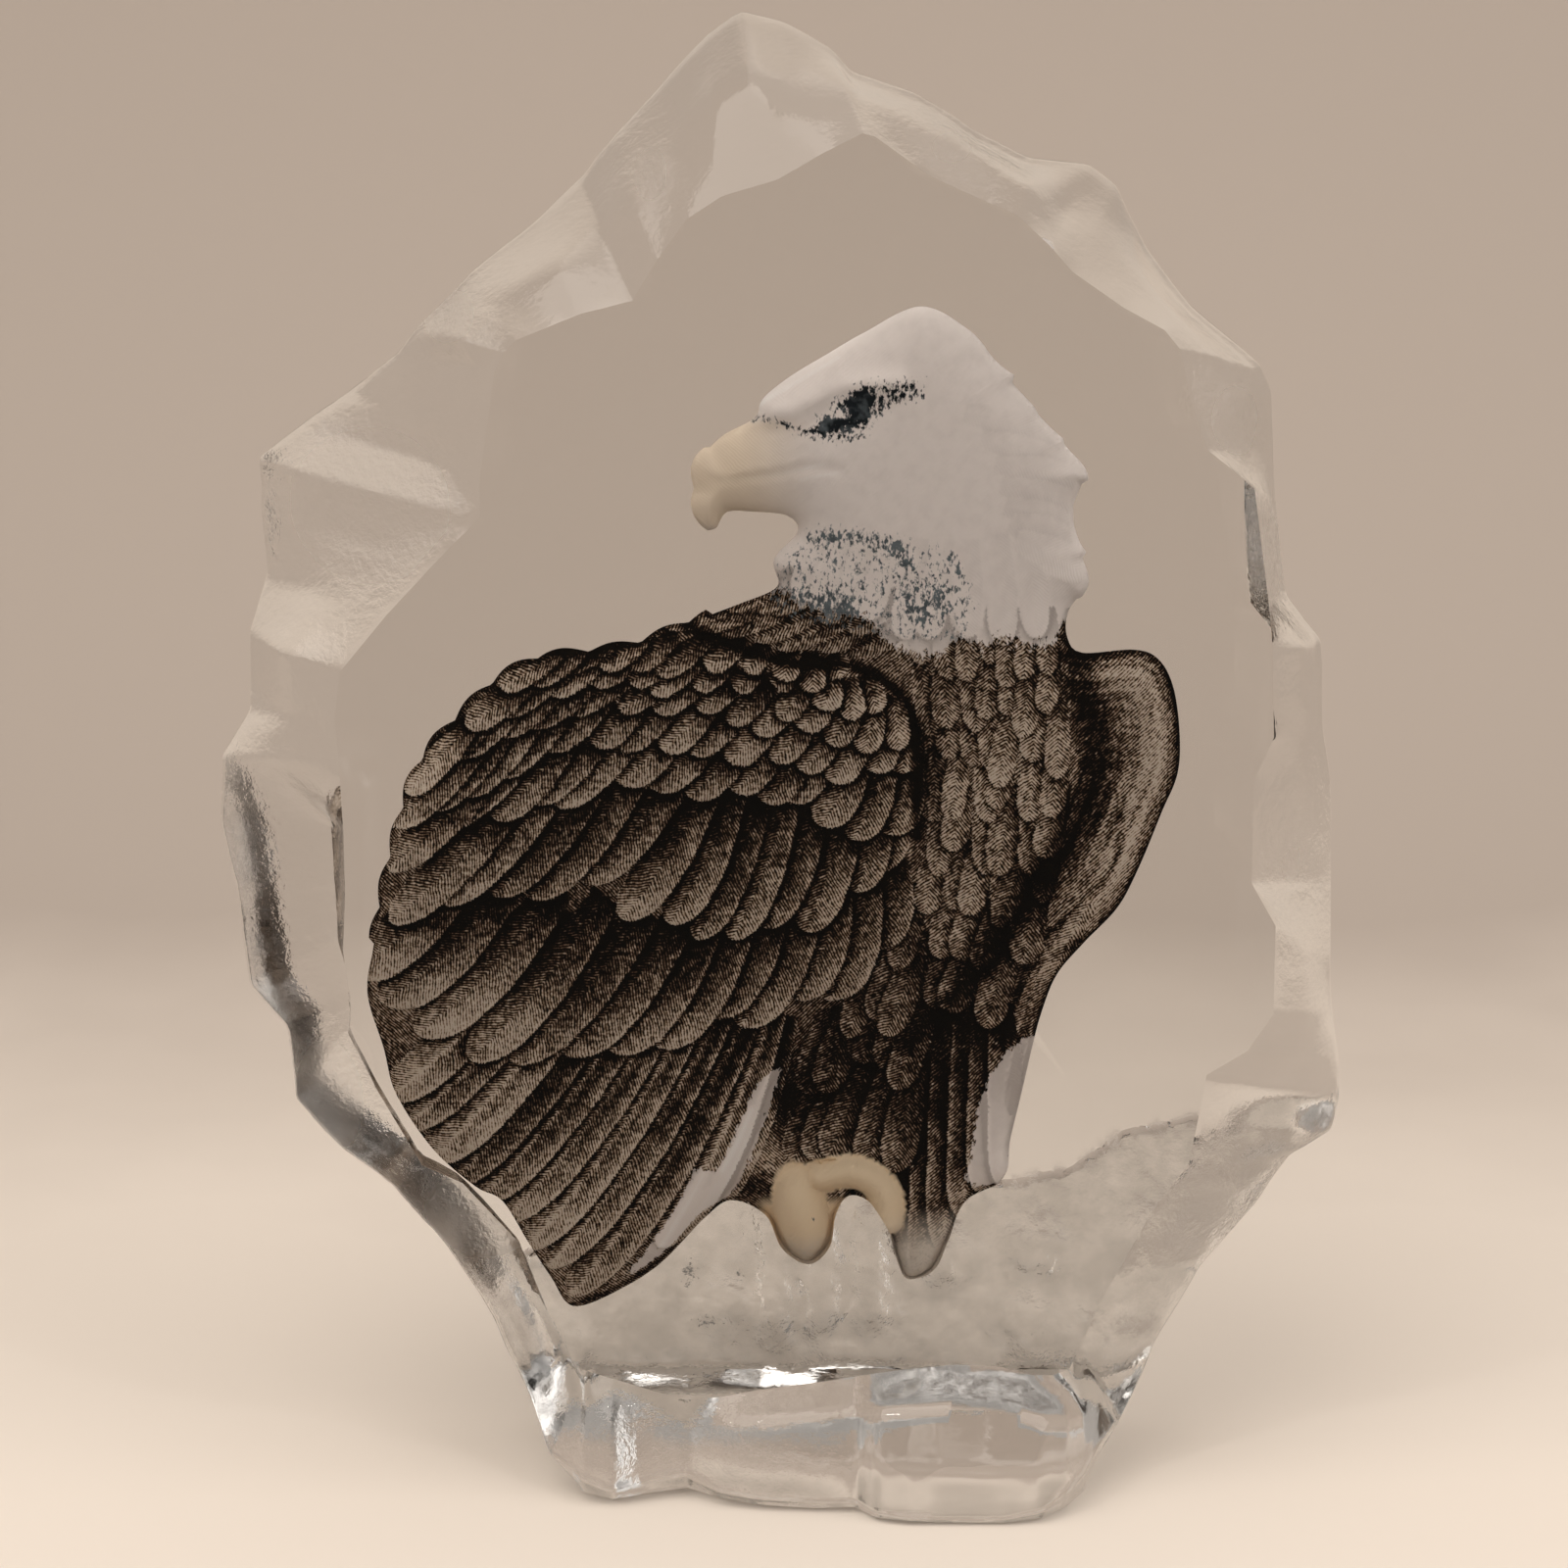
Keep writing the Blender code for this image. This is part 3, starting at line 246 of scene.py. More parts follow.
RIM_ROWS = (
    (-33, 21.5, -39, 6, 0.45, 15), (-34.5, 23, -42.6, 15, 0.45, 11), (-38.3, 31, -48.4, 26.5, 0.45, 7),
    (-43, 43, -57.5, 38.5, 0.45, 4), (-52, 53, -66, 47.5, 0.50, 3), (-58.5, 56, -71.5, 50.5, 0.58, 2.5),
    (-65.5, 68.5, -78, 55.5, 0.66, 2.5), (-70, 78, -83, 60, 0.74, 3), (-69.5, 83, -84, 73, 0.70, 3),
    (-70.5, 91.5, -89.3, 81, 0.58, 3), (-70, 100, -90.7, 99, 0.50, 3), (-70, 110, -92.5, 110, 0.42, 2.5),
    (-70.5, 121, -92, 121, 0.40, 2), (-71, 129, -87.3, 128.5, 0.46, 3), (-70, 136.5, -87.3, 141, 0.52, 3),
    (-62.5, 145.5, -85, 150, 0.62, 2.5), (-54, 154.5, -85.4, 159, 0.62, 2),
    (-47.5, 161, -85.8, 169, 0.58, 2), (-47.5, 167, -78.5, 174.5, 0.64, 2.5),
    (-46.5, 173.5, -70.5, 180, 0.68, 2.5), (-45, 183.5, -62.5, 186, 0.52, 2.5),
    (-43.5, 186.5, -59, 190.5, 0.48, 2.5), (-41.5, 188.5, -50.5, 199, 0.52, 2.5),
    (-31.5, 192.5, -40, 207, 0.60, 2.5), (-23.5, 194.5, -33, 214, 0.68, 2),
    (-19.8, 200.5, -28, 220, 0.62, 2), (-15, 207, -20, 228.5, 0.66, 2),
    (-9.5, 210.5, -12.5, 236.5, 0.70, 2), (-1, 213, -7, 240, 0.68, 2), (6, 217, 0, 238.5, 0.66, 2),
    (12, 220, 8, 234, 0.60, 2), (14, 219.5, 11, 230.5, 0.50, 2), (22.5, 213.5, 20.5, 227, 0.46, 2.5),
    (31.5, 209.5, 30, 221.5, 0.48, 2.5), (36, 207.5, 39.5, 217, 0.55, 2), (41, 203, 49, 216, 0.64, 2),
    (44.5, 199, 54, 212.5, 0.66, 2.5), (52.5, 193.5, 58.5, 202, 0.60, 3), (59, 190, 65.5, 193.5, 0.52, 3),
    (61.5, 187, 76.5, 184.5, 0.46, 3), (63, 180, 79, 179.5, 0.50, 2.5), (66, 171.5, 79.8, 170, 0.58, 2.5),
    (73.5, 165.5, 80.3, 162, 0.56, 3), (75.5, 152, 81, 153.5, 0.52, 3.5), (76.2, 147, 82, 147, 0.48, 3),
    (77, 140, 87.5, 140, 0.44, 2), (77.5, 126, 88.2, 125, 0.48, 3), (74.5, 119, 89.8, 115.5, 0.56, 2.5),
    (74.5, 102.5, 90.8, 100, 0.52, 2.5), (78.5, 95.5, 90.4, 87, 0.46, 3), (78.5, 81, 91.3, 77.5, 0.50, 3),
    (74.5, 75, 93.2, 68, 0.56, 2.5), (68, 71, 93.5, 61.5, 0.60, 2.5), (67, 65, 92, 56, 0.58, 2.5),
    (65.5, 56.5, 84.5, 52.5, 0.50, 2.5), (59.5, 48, 79, 45, 0.44, 3), (55, 39.5, 70, 34.5, 0.44, 4),
    (51, 32, 62, 22, 0.46, 8), (48.5, 25.5, 56, 10, 0.48, 13),
)
RIM = tuple(RimStation((wx, wz), (ox, oz), ridge, spread) for wx, wz, ox, oz, ridge, spread in RIM_ROWS)

FOOT_ROWS = (
    (46.5, 21.5, 49.5, 13, 0.30, 5, 0.35), (44, 20.5, 46, 15.5, 0.70, 3.5, 0.60),
    (40.5, 20.5, 41.5, 17.5, 0.95, 2, 0.85), (35, 22, 35.5, 19.8, 1.00, 0.8, 1.00),
    (28, 22.3, 27.5, 20, 1.00, 0.8, 1.00), (20, 21.5, 20, 19.5, 0.97, 0.8, 0.80),
    (15, 20.8, 14.8, 18.5, 0.88, 1.2, 0.70), (11.5, 20.2, 11.5, 16, 0.58, 1.6, 0.70),
    (5, 19.2, 5, 16, 0.62, 1.6, 0.90), (-4, 18, -3.5, 15, 0.56, 2, 1.00),
    (-10, 16.8, -10, 13.2, 0.40, 2.6, 0.90), (-16, 16.2, -16, 12.2, 0.14, 4, 0.70),
    (-22, 18, -22, 13.4, 0.26, 3.4, 0.80), (-27, 19.6, -28, 14, 0.42, 2.6, 0.85),
    (-31, 20.8, -33, 12.5, 0.30, 4.2, 0.50),
)
FOOT = tuple(FootStation((wx, wz), *rest) for wx, wz, *rest in FOOT_ROWS)

EAGLE: Line = (
    (-4.6, 174.6), (-3.4, 177.6), (1, 181.2), (7.3, 185), (13, 188.3), (22, 192.5), (29.5, 189), (34, 184),
    (40, 176.5), (45, 171), (48.5, 165.5), (47, 160), (48, 154), (49.5, 148), (46.5, 143), (46.5, 138.5),
    (49, 136), (57.5, 136.5), (61.5, 135), (64, 130.5), (65.2, 123), (65, 116), (62.5, 109.5), (59, 100.5),
    (55.5, 93.5), (50, 87.5), (45.5, 82), (43, 75.5), (41.5, 69.5), (40, 62.5), (38, 53.5), (37, 47),
    (30.5, 43), (27.5, 36), (25, 31), (21, 29.5), (19.2, 33), (17.8, 38), (14.5, 43.2), (11, 44.4),
    (8.6, 41), (7.6, 35.6), (4, 32.4), (-0.2, 35.2), (-3, 41), (-9, 43.2), (-13.6, 40), (-20.4, 32.7),
    (-26.5, 28.4), (-35.5, 24.9), (-39.5, 30.2), (-43.4, 36.6), (-47.5, 43.5), (-52, 46), (-59, 52.5),
    (-65, 62), (-67, 70), (-69.5, 79), (-68.5, 86), (-67.3, 92.5), (-66, 98.5), (-63.8, 107), (-61.3, 115),
    (-58, 120.5), (-52.5, 126.5), (-47, 131.5), (-40.5, 135), (-33, 136), (-24, 137.5), (-15.5, 141),
    (-7.5, 144), (-1, 147), (-1.5, 151.5), (2.4, 156), (0.7, 158.8), (-5, 159.5), (-9.5, 159.4),
    (-11.6, 156.6), (-14.2, 160.6), (-14.4, 164.6), (-13.3, 168), (-10, 171.6),
)
NEAR_WING: Line = (
    (-16, 139), (-33, 138.5), (-50, 133), (-66, 112), (-72, 84), (-68, 56), (-50, 38), (-36, 22), (-20, 33),
    (-8, 46), (-2, 64), (8, 77), (17, 88), (22.5, 100), (23.5, 112), (22, 123), (17, 131), (8, 134.5),
    (-4, 136),
)
FAR_WING: Line = (
    (45.5, 139), (58, 140), (68, 130), (68, 110), (60, 92), (48, 78), (42, 60), (37, 60), (39, 78),
    (43.5, 94), (46.5, 110), (47, 126),
)
LEADING_ROLL: Line = (
    (50, 134), (57.5, 132.5), (60.8, 124), (60.2, 114), (56.5, 104), (51.5, 95), (44, 85),
)
TAIL: Line = (
    (2, 58), (10, 78), (20, 86), (34, 84), (40, 76), (44, 64), (40, 44), (30, 38), (24, 26), (17, 30),
    (14, 46),
)
BROW: Line = ((-5, 175), (2, 176.6), (9, 179.6), (18, 180.4))
GAPE: Line = ((-10.5, 164.6), (-2, 165.6), (4, 166.8), (9, 166.4))
WRIST: Line = ((-16, 140.8), (0, 135.1), (11.2, 134.3), (19.3, 129.4), (21.7, 121.3), (21.8, 106.5))
NECK_BORDER: Line = (
    (-30, 147), (-0.8, 146.9), (2.7, 144.3), (7.3, 143.2), (13.4, 142.2), (17.5, 138.1), (20.6, 136.6),
    (25.7, 136.3), (28.7, 139.6), (32.3, 137.6), (35.8, 139.6), (39.9, 138.1), (44.5, 138.1), (45.5, 141.7),
    (80, 141.7),
)
LEDGE_LINE: Line = (
    (-70, 26), (-44, 34), (-30, 36), (-5, 46), (38, 46.5), (48, 48.5), (57, 55), (90, 62),
)
SIDE_TOE: Line = ((6, 47.8), (11, 48.7), (15.2, 46.9), (17.2, 43.6), (17.2, 40.2))


# Feathers

@dataclass(frozen=True)
class Tract:
    """A row of feathers: lines of roots and tips, how many, how wide, bent, pale, scattered and soft."""

    roots: Line
    tips: Line
    count: int
    width: float
    bend: float
    light: float = 0.0
    scatter: float = 1.0
    soft: float = 0.0


TRACTS = {
    "far_wing_quills": Tract(((43, 90), (47.5, 92), (52, 96)), ((33.5, 62), (38, 62), (43, 73)), 3, 5.5, -1,
        0.1, 1, 0.7),
    "tail": Tract(((8, 76), (16, 82), (24, 84), (31, 82), (37, 78)), ((10, 47), (17, 33), (23, 28),
        (31, 41), (39, 47)), 9, 6.4, 0.8, -0.05),
    "thigh_low": Tract(((4, 62), (14, 66), (24, 68)), ((-4, 44.5), (8, 50), (20, 49)), 5, 6.4, 0, -0.1,
        2, 0.5),
    "thigh": Tract(((6, 76), (16, 80), (27, 80)), ((1, 60), (11, 63), (23, 64)), 5, 6, 0, -0.15, 2, 0.5),
    "belly_low": Tract(((14, 90), (26, 90), (40, 90)), ((8, 73), (21, 75), (36, 75)), 6, 5.6, 0, -0.1,
        2.2, 0.5),
    "belly": Tract(((20, 98), (33, 99), (45, 99)), ((17, 84), (29, 84), (40.5, 85)), 5, 5.2, 0, -0.06,
        2.6, 0.5),
    "breast_1": Tract(((24, 107), (35, 107), (47, 107)), ((22, 93.5), (32.5, 93), (43.5, 94)), 6, 4.8, 0, 0,
        2.8, 0.5),
    "breast_2": Tract(((24, 115), (35, 115), (48, 115)), ((23, 102), (33.5, 101), (45.5, 102)), 6, 4.6, 0,
        0.02, 2.8, 0.5),
    "breast_3": Tract(((23, 122), (35, 122), (47.5, 122)), ((23, 110), (33.5, 109.5), (46, 110)), 6, 4.4, 0,
        0.04, 2.8, 0.5),
    "breast_4": Tract(((22, 129), (34, 129), (47, 129)), ((23, 118), (33.5, 117), (46, 118)), 7, 4.2, 0,
        0.03, 2.8, 0.5),
    "breast_5": Tract(((20, 136), (34, 137), (46, 137)), ((22.5, 126), (33, 125), (45, 125.5)), 7, 4, 0, 0,
        2.8, 0.5),
    "breast_6": Tract(((19, 143), (34, 144), (45, 144)), ((22, 133), (33, 132), (45, 132)), 7, 3.8, 0,
        -0.05, 2.8, 0.5),
    "pale_quill": Tract(((1, 76), (-3, 78)), ((-13, 41), (-22, 33)), 2, 9, 1.5, 0.1),
    "long_quills": Tract(((-3, 79), (-10, 85), (-18, 89), (-28, 93), (-39, 95)), ((-35.5, 24.5), (-44, 33),
        (-53, 41.5), (-61.5, 50.5), (-70, 65)), 9, 8, 2, -0.02),
    "quills": Tract(((20, 105), (13, 98), (6, 97), (-3, 96), (-12, 93), (-20, 93), (-31, 97), (-44, 99),
        (-55, 102)), ((17, 90), (8, 81.5), (-4, 77.5), (-16, 73.5), (-28, 71), (-41, 70), (-54.5, 70.5),
        (-68.5, 75.5), (-77, 86)), 13, 8.6, 1.2, 0.04, 1.2),
    "great_coverts": Tract(((21, 120), (15, 117), (7, 115), (-1, 113), (-8, 114), (-14, 117), (-24, 120),
        (-34, 118), (-44, 116)), ((18, 101.5), (10, 96), (0, 91), (-10, 88.5), (-20, 91), (-31, 96.5),
        (-43, 97.5), (-55, 94.5), (-69.5, 89)), 13, 7.4, 0.8, 0, 1.4),
    "middle_coverts": Tract(((22, 121), (16, 120.5), (8, 122), (0, 123), (-8, 124.5), (-18, 126),
        (-28, 126), (-38, 124), (-47, 120)), ((20.5, 108), (11, 107), (1, 110.5), (-9, 113), (-19, 114.5),
        (-30, 115), (-41, 113), (-53.5, 108), (-67.5, 99.5)), 14, 6.4, 0.6, 0.05, 1.6),
    "small_coverts_1": Tract(((21.5, 126), (16, 125.5), (8.5, 127), (-1, 129), (-11, 130), (-22, 130.5),
        (-33, 129.5), (-43, 126), (-51, 121.5)), ((21, 115), (12, 115.5), (2, 118), (-9, 120.5),
        (-20, 121.5), (-32, 121.5), (-44, 119), (-56, 114), (-66.5, 106.5)), 15, 5.4, 0.4, 0.06, 1.8),
    "small_coverts_2": Tract(((19, 130), (14, 129.5), (7, 131), (-2, 133), (-12, 134), (-23, 134),
        (-34, 133), (-45, 129.5), (-51, 126.5)), ((20, 121), (11, 121.5), (1, 124), (-10, 126), (-22, 127),
        (-34, 127), (-46, 124), (-57.5, 118.5), (-63.5, 113.5)), 15, 4.8, 0.3, 0.05, 1.8),
    "small_coverts_3": Tract(((14, 133), (9, 132.5), (2, 134), (-8, 136), (-19, 136.5), (-31, 136),
        (-43, 132)), ((17, 126.5), (8, 127), (-3, 129.5), (-15, 131), (-28, 131.5), (-41, 130.5),
        (-54.5, 124.5)), 13, 4.4, 0.2, 0.03, 1.8),
    "small_coverts_4": Tract(((9, 136), (2, 137), (-6, 139), (-18, 139.5), (-29, 138.5), (-39, 136)),
        ((12, 131), (1, 132.5), (-12, 134.5), (-26, 134.5), (-38, 134), (-49, 130.5)), 11, 4.2, 0.2,
        0, 1.6),
    "mantle_low": Tract(((24, 141.5), (13, 143), (2, 145), (-7, 146)), ((13, 136), (1, 138), (-11, 140.5),
        (-21, 141)), 7, 4, 0.2, -0.05, 1.4, 0.5),
    "mantle": Tract(((28, 146), (18, 148), (7, 149.5), (0, 150)), ((20, 139), (8, 141), (-4, 143.5),
        (-12, 144)), 6, 4, 0.2, -0.05, 1.4, 0.5),
    "hackles_low": Tract(((4, 158), (16, 156), (28, 155), (42, 157)), ((0.5, 146), (12, 141.5), (26, 137),
        (45, 140.5)), 9, 4.8, 0, 0, 1.6, 0.95),
    "nape": Tract(((28, 178), (34, 168), (36, 160), (38, 154)), ((44, 171), (48, 164.5), (48.5, 155),
        (49, 147.5)), 7, 5, 0.5, 0, 1.6, 0.9),
}


@dataclass(frozen=True)
class Feather:
    """One feather, from its root to its tip."""

    root: np.ndarray
    tip: np.ndarray
    width: float
    bend: float
    light: float
    lean: float
    soft: float
    root_width: float = 0.6
    full_width_from: float = 0.5
    round_from: float = 0.74
    least_width: float = 1e-6

    @property
    def length(self) -> float:
        """Length from root to tip."""
        return float(np.hypot(*(self.tip - self.root)))

    def into_tip(self, s: np.ndarray) -> np.ndarray:
        """How far into the round tip a share of the length lies."""
        return np.clip((s - self.round_from) / (1.0 - self.round_from), 0.0, 1.0)

    def half_width(self, s: np.ndarray) -> np.ndarray:
        """Half the width at a share of the length, with a narrow root and a round tip."""
        body = self.root_width + (1.0 - self.root_width) * np.clip(s / self.full_width_from, 0.0, 1.0)
        return np.maximum(self.width / 2 * body * np.sqrt(1.0 - self.into_tip(s) ** 2), self.least_width)

    def middle(self, s: np.ndarray) -> np.ndarray:
        """How far the middle line lies to one side."""
        return self.bend * 4.0 * s * (1.0 - s)

    def place(self, x: np.ndarray, z: np.ndarray) -> tuple[np.ndarray, np.ndarray, np.ndarray]:
        """Where points lie on the feather.

        Args:
            x: First coordinates of the points.
            z: Second coordinates of the points.

        Returns:
            Shares along it, 0 at the root and 1 at the tip; distances from its middle line; shares of the
            half width there.
        """
        axis = self.tip - self.root
        s = ((x - self.root[0]) * axis[0] + (z - self.root[1]) * axis[1]) / self.length ** 2
        side = ((z - self.root[1]) * axis[0] - (x - self.root[0]) * axis[1]) / self.length - self.middle(s)
        return s, side, side / self.half_width(s)


@dataclass
class Plumage:
    """Every feather of the eagle, painted over each other from the lowest layer up."""

    tip_scatter: float = 0.16
    side_scatter: float = 0.07
    width_scatter: float = 0.07
    lift: float = 1.0 * MM
    big_feather: float = 6.2
    root_lift: float = 0.1
    edge_fall: float = 0.35
    soft_fall: float = 0.5
    least_stops: int = 6
    stop_crowding: float = 1.6
    feathers: list[Feather] = field(default_factory=list)

    def __post_init__(self) -> None:
        """Lay out the feathers of each tract."""
        rng = Seed.FEATHERS.rng()
        for tract in TRACTS.values():
            lean = math.copysign(1.0, tract.roots[0][0] - tract.roots[-1][0])
            for number in range(tract.count):
                share = (number + 0.5) / tract.count
                root, tip = along(tract.roots, share), along(tract.tips, share)
                ahead = (tip - root) / np.hypot(*(tip - root))
                aside = np.array([-ahead[1], ahead[0]])
                longer, sideways, wider = rng.normal(size=3)
                stray = self.tip_scatter * longer * ahead + self.side_scatter * sideways * aside
                tip = tip + tract.scatter * tract.width * stray
                width = tract.width * (1.0 + self.width_scatter * wider)
                self.feathers.append(Feather(root, tip, width, tract.bend, tract.light, lean, tract.soft))

    def over(self, x: np.ndarray, z: np.ndarray) -> tuple[np.ndarray, np.ndarray]:
        """Lift of the plumage at each point, and the number of the feather on top there, -1 for none."""
        lift = np.zeros(x.shape)
        top = np.full(x.shape, -1)
        for number, feather in enumerate(self.feathers):
            low = np.minimum(feather.root, feather.tip) - feather.width
            high = np.maximum(feather.root, feather.tip) + feather.width
            near = np.flatnonzero((x > low[0]) & (x < high[0]) & (z > low[1]) & (z < high[1]))
            s, _, t = feather.place(x[near], z[near])
            on = (s > 0.0) & (s < 1.0) & (np.abs(t) < 1.0)
            height = self.lift * math.sqrt(feather.width / self.big_feather)
            height *= 1.0 - self.soft_fall * feather.soft
            here = near[on]
            rise = self.root_lift + (1.0 - self.root_lift) * s[on]
            lift[here] = height * rise * (1.0 - self.edge_fall * t[on] ** 2)
            top[here] = number
        return lift, top

    def edge_lines(self, step: float, gap: float) -> list[np.ndarray]:
        """Lines just inside and just outside the edges of the feathers, where they show.

        Args:
            step: Distance between the points of a line.
            gap: Distance of the lines from the edge.

        Returns:
            The lines, each with its points one to a row.
        """
        lines, seen = [], []
        for number, feather in enumerate(self.feathers):
            ahead = (feather.tip - feather.root) / feather.length
            aside = np.array([-ahead[1], ahead[0]])
            count = max(self.least_stops, round(feather.length / step))
            stops = 1.0 - np.linspace(0.0, 1.0, count) ** self.stop_crowding
            s = np.concatenate([stops[::-1], stops[1:]])
            side = np.concatenate([-np.ones(len(stops)), np.ones(len(stops) - 1)])
            for reach in (-gap, gap):
                half = np.where(s < 1.0, feather.half_width(s) + reach, 0.0)
                past = s * feather.length + reach * feather.into_tip(s)
                across = side * half + feather.middle(s)
                place = feather.root + past[:, None] * ahead + across[:, None] * aside
                if reach < 0:
                    seen_from = place
                lines.append((number, place))
                seen.append(seen_from)
        spots = np.concatenate(seen)
        _, top = self.over(spots[:, 0], spots[:, 1])
        shown, at = [], 0
        for number, place in lines:
            run: list[np.ndarray] = []
            for point, owner in zip(place, top[at:at + len(place)]):
                if owner == number:
                    run.append(point)
                elif run:
                    shown.append(np.array(run))
                    run = []
            if run:
                shown.append(np.array(run))
            at += len(place)
        return shown


# Carving

@dataclass
class Sheet:
    """A triangulated stretch of the back: places, heights over the back plane and faces."""

    flat: np.ndarray
    heights: np.ndarray
    faces: np.ndarray
    rim: np.ndarray
    on_eagle: np.ndarray
    on_eagle_vert: np.ndarray
    owner: np.ndarray


@dataclass
class Carving:
    """The eagle and its perch, as heights over the back plane."""

    plumage: Plumage
    edge_step: float = 1.0 * MM
    body_rise: float = 4.2 * MM
    body_reach: float = 11.0
    wing_rise: float = 2.6 * MM
    wing_reach: float = 6.0
    far_wing_drop: float = 1.2 * MM
    roll_rise: float = 2.0 * MM
    roll_width: float = 4.2
    tail_drop: float = 1.0 * MM
    brow_rise: float = 1.0 * MM
    brow_width: float = 1.9
    gape_depth: float = 0.25 * MM
    gape_width: float = 0.9
    eye: Point = (8.8, 175.4)
    eye_rise: float = 0.9 * MM
    eye_size: float = 2.2
    socket_depth: float = 0.9 * MM
    socket_size: float = 4.2
    toe: Point = (2.8, 42.0)
    toe_half: Point = (4.9, 8.8)
    toe_lean: float = 0.12
    toe_rise: float = 8.5 * MM
    side_toe_width: float = 3.2
    side_toe_share: float = 0.85
    toe_line_step: float = 1.0
    perch_step: float = 1.2 * MM
    ridges: tuple[Point, ...] = ((-1.5, 3.6), (6.5, 3.4), (14.5, 3.8))
    ridge_rise: float = 3.2 * MM
    ridge_spread: float = 1.15
    ridge_top: float = 44.0
    ridge_round: float = 4.0
    ridge_foot: float = 15.0
    ridge_fade: float = 8.0
    lumps: int = 34
    lump_rise: float = 2.2 * MM
    lump_reach: float = 9.0
    perch_box: tuple[Point, Point] = ((-50.0, 8.0), (88.0, 60.0))
    lump_power: float = 4.0
    ripple_rise: float = 0.2 * MM
    ripple_count: int = 9
    ripple_pitches: Point = (2.4, 6.0)
    perch_taper: float = 6.0
    perch_top: float = 62.0
    limb_blend: float = 2.0
    plumage_blend: float = 1.5
    head_from: float = 140.0
    head_calm: float = 0.88
    head_blend: float = 6.0
    ledge_fall: float = 1.2
    fine: float = 0.55
    coarse: float = 1.1
    feather_step: float = 0.8
    edge_gap: float = 0.14
    edge_room: float = 0.5
    outline_step: float = 0.8
    shoulder_corner: Point = (-12.0, 88.0)
    nape_corner: Point = (30.0, 142.0)
    scallop: float = 1.1
    scallop_pitch: float = 8.6
    tuft: float = 1.3
    tuft_pitch: float = 6.6
    outline: np.ndarray = field(init=False)

    def __post_init__(self) -> None:
        """Smooth the eagle's outline and give the shoulder its feather tips and the nape its tufts."""
        line = smooth_line(EAGLE, self.outline_step, True)
        run = np.concatenate([[0.0], np.cumsum(np.hypot(*(line[1:] - line[:-1]).T))])
        shoulder = (line[:, 0] < self.shoulder_corner[0]) & (line[:, 1] > self.shoulder_corner[1])
        nape = (line[:, 0] > self.nape_corner[0]) & (line[:, 1] > self.nape_corner[1])
        reach = np.where(shoulder, self.scallop * np.abs(np.sin(math.pi * run / self.scallop_pitch)), 0.0)
        ragged = 0.55 + 0.45 * np.sin(0.37 * run + 0.8)
        reach += np.where(nape, self.tuft * ragged * (run / self.tuft_pitch % 1.0) ** 2, 0.0)
        self.outline = line + (offset_loop(line, 1.0) - line) * reach[:, None]

    def eagle_height(self, x: np.ndarray, z: np.ndarray) -> np.ndarray:
        """Height of the eagle, from its body, limbs and feathers."""
        edge, _ = distance_to(self.outline, x, z)
        height = self.edge_step + self.body_rise * rounded(edge / self.body_reach)
        height += self.wing_rise * rounded(signed_depth(NEAR_WING, x, z) / self.wing_reach)
        far = signed_depth(FAR_WING, x, z)
        height -= self.far_wing_drop * np.clip(far / self.limb_blend, 0.0, 1.0)
        roll = self.roll_rise * bump(reach_to(LEADING_ROLL, x, z), self.roll_width)
        height += np.where(far > 0.0, roll, 0.0)
        height -= self.tail_drop * np.clip(signed_depth(TAIL, x, z) / self.limb_blend, 0.0, 1.0)
        lift, _ = self.plumage.over(x, z)
        smooth_head = 1.0 - self.head_calm * np.clip((z - self.head_from) / self.head_blend, 0.0, 1.0)
        height += lift * smooth_head * np.clip(edge / self.plumage_blend, 0.0, 1.0)
        height += self.head_height(x, z)
        return np.maximum(height, self.toe_height(x, z))

    def head_height(self, x: np.ndarray, z: np.ndarray) -> np.ndarray:
        """What the brow, the eye and the line of the mouth add to the head."""
        brow = reach_to(BROW, x, z, 1.0)
        gape = reach_to(GAPE, x, z, 1.0)
        eye = np.hypot(x - self.eye[0], z - self.eye[1])
        lines = self.brow_rise * bump(brow, self.brow_width) - self.gape_depth * bump(gape, self.gape_width)
        lines -= self.socket_depth * bump(eye, self.socket_size)
        return lines + self.eye_rise * bump(eye, self.eye_size)

    def toe_height(self, x: np.ndarray, z: np.ndarray) -> np.ndarray:
        """Height of the toe in front and of the one that curls round the perch."""
        above = z - self.toe[1]
        beside = x - self.toe[0] + self.toe_lean * above
        front = (beside / self.toe_half[0]) ** 2 + (above / self.toe_half[1]) ** 2
        side = reach_to(SIDE_TOE, x, z, self.toe_line_step)
        curled = self.side_toe_share * np.sqrt(np.clip(1.0 - (side / self.side_toe_width) ** 2, 0.0, 1.0))
        return self.toe_rise * np.maximum(np.sqrt(np.clip(1.0 - front, 0.0, 1.0)), curled)

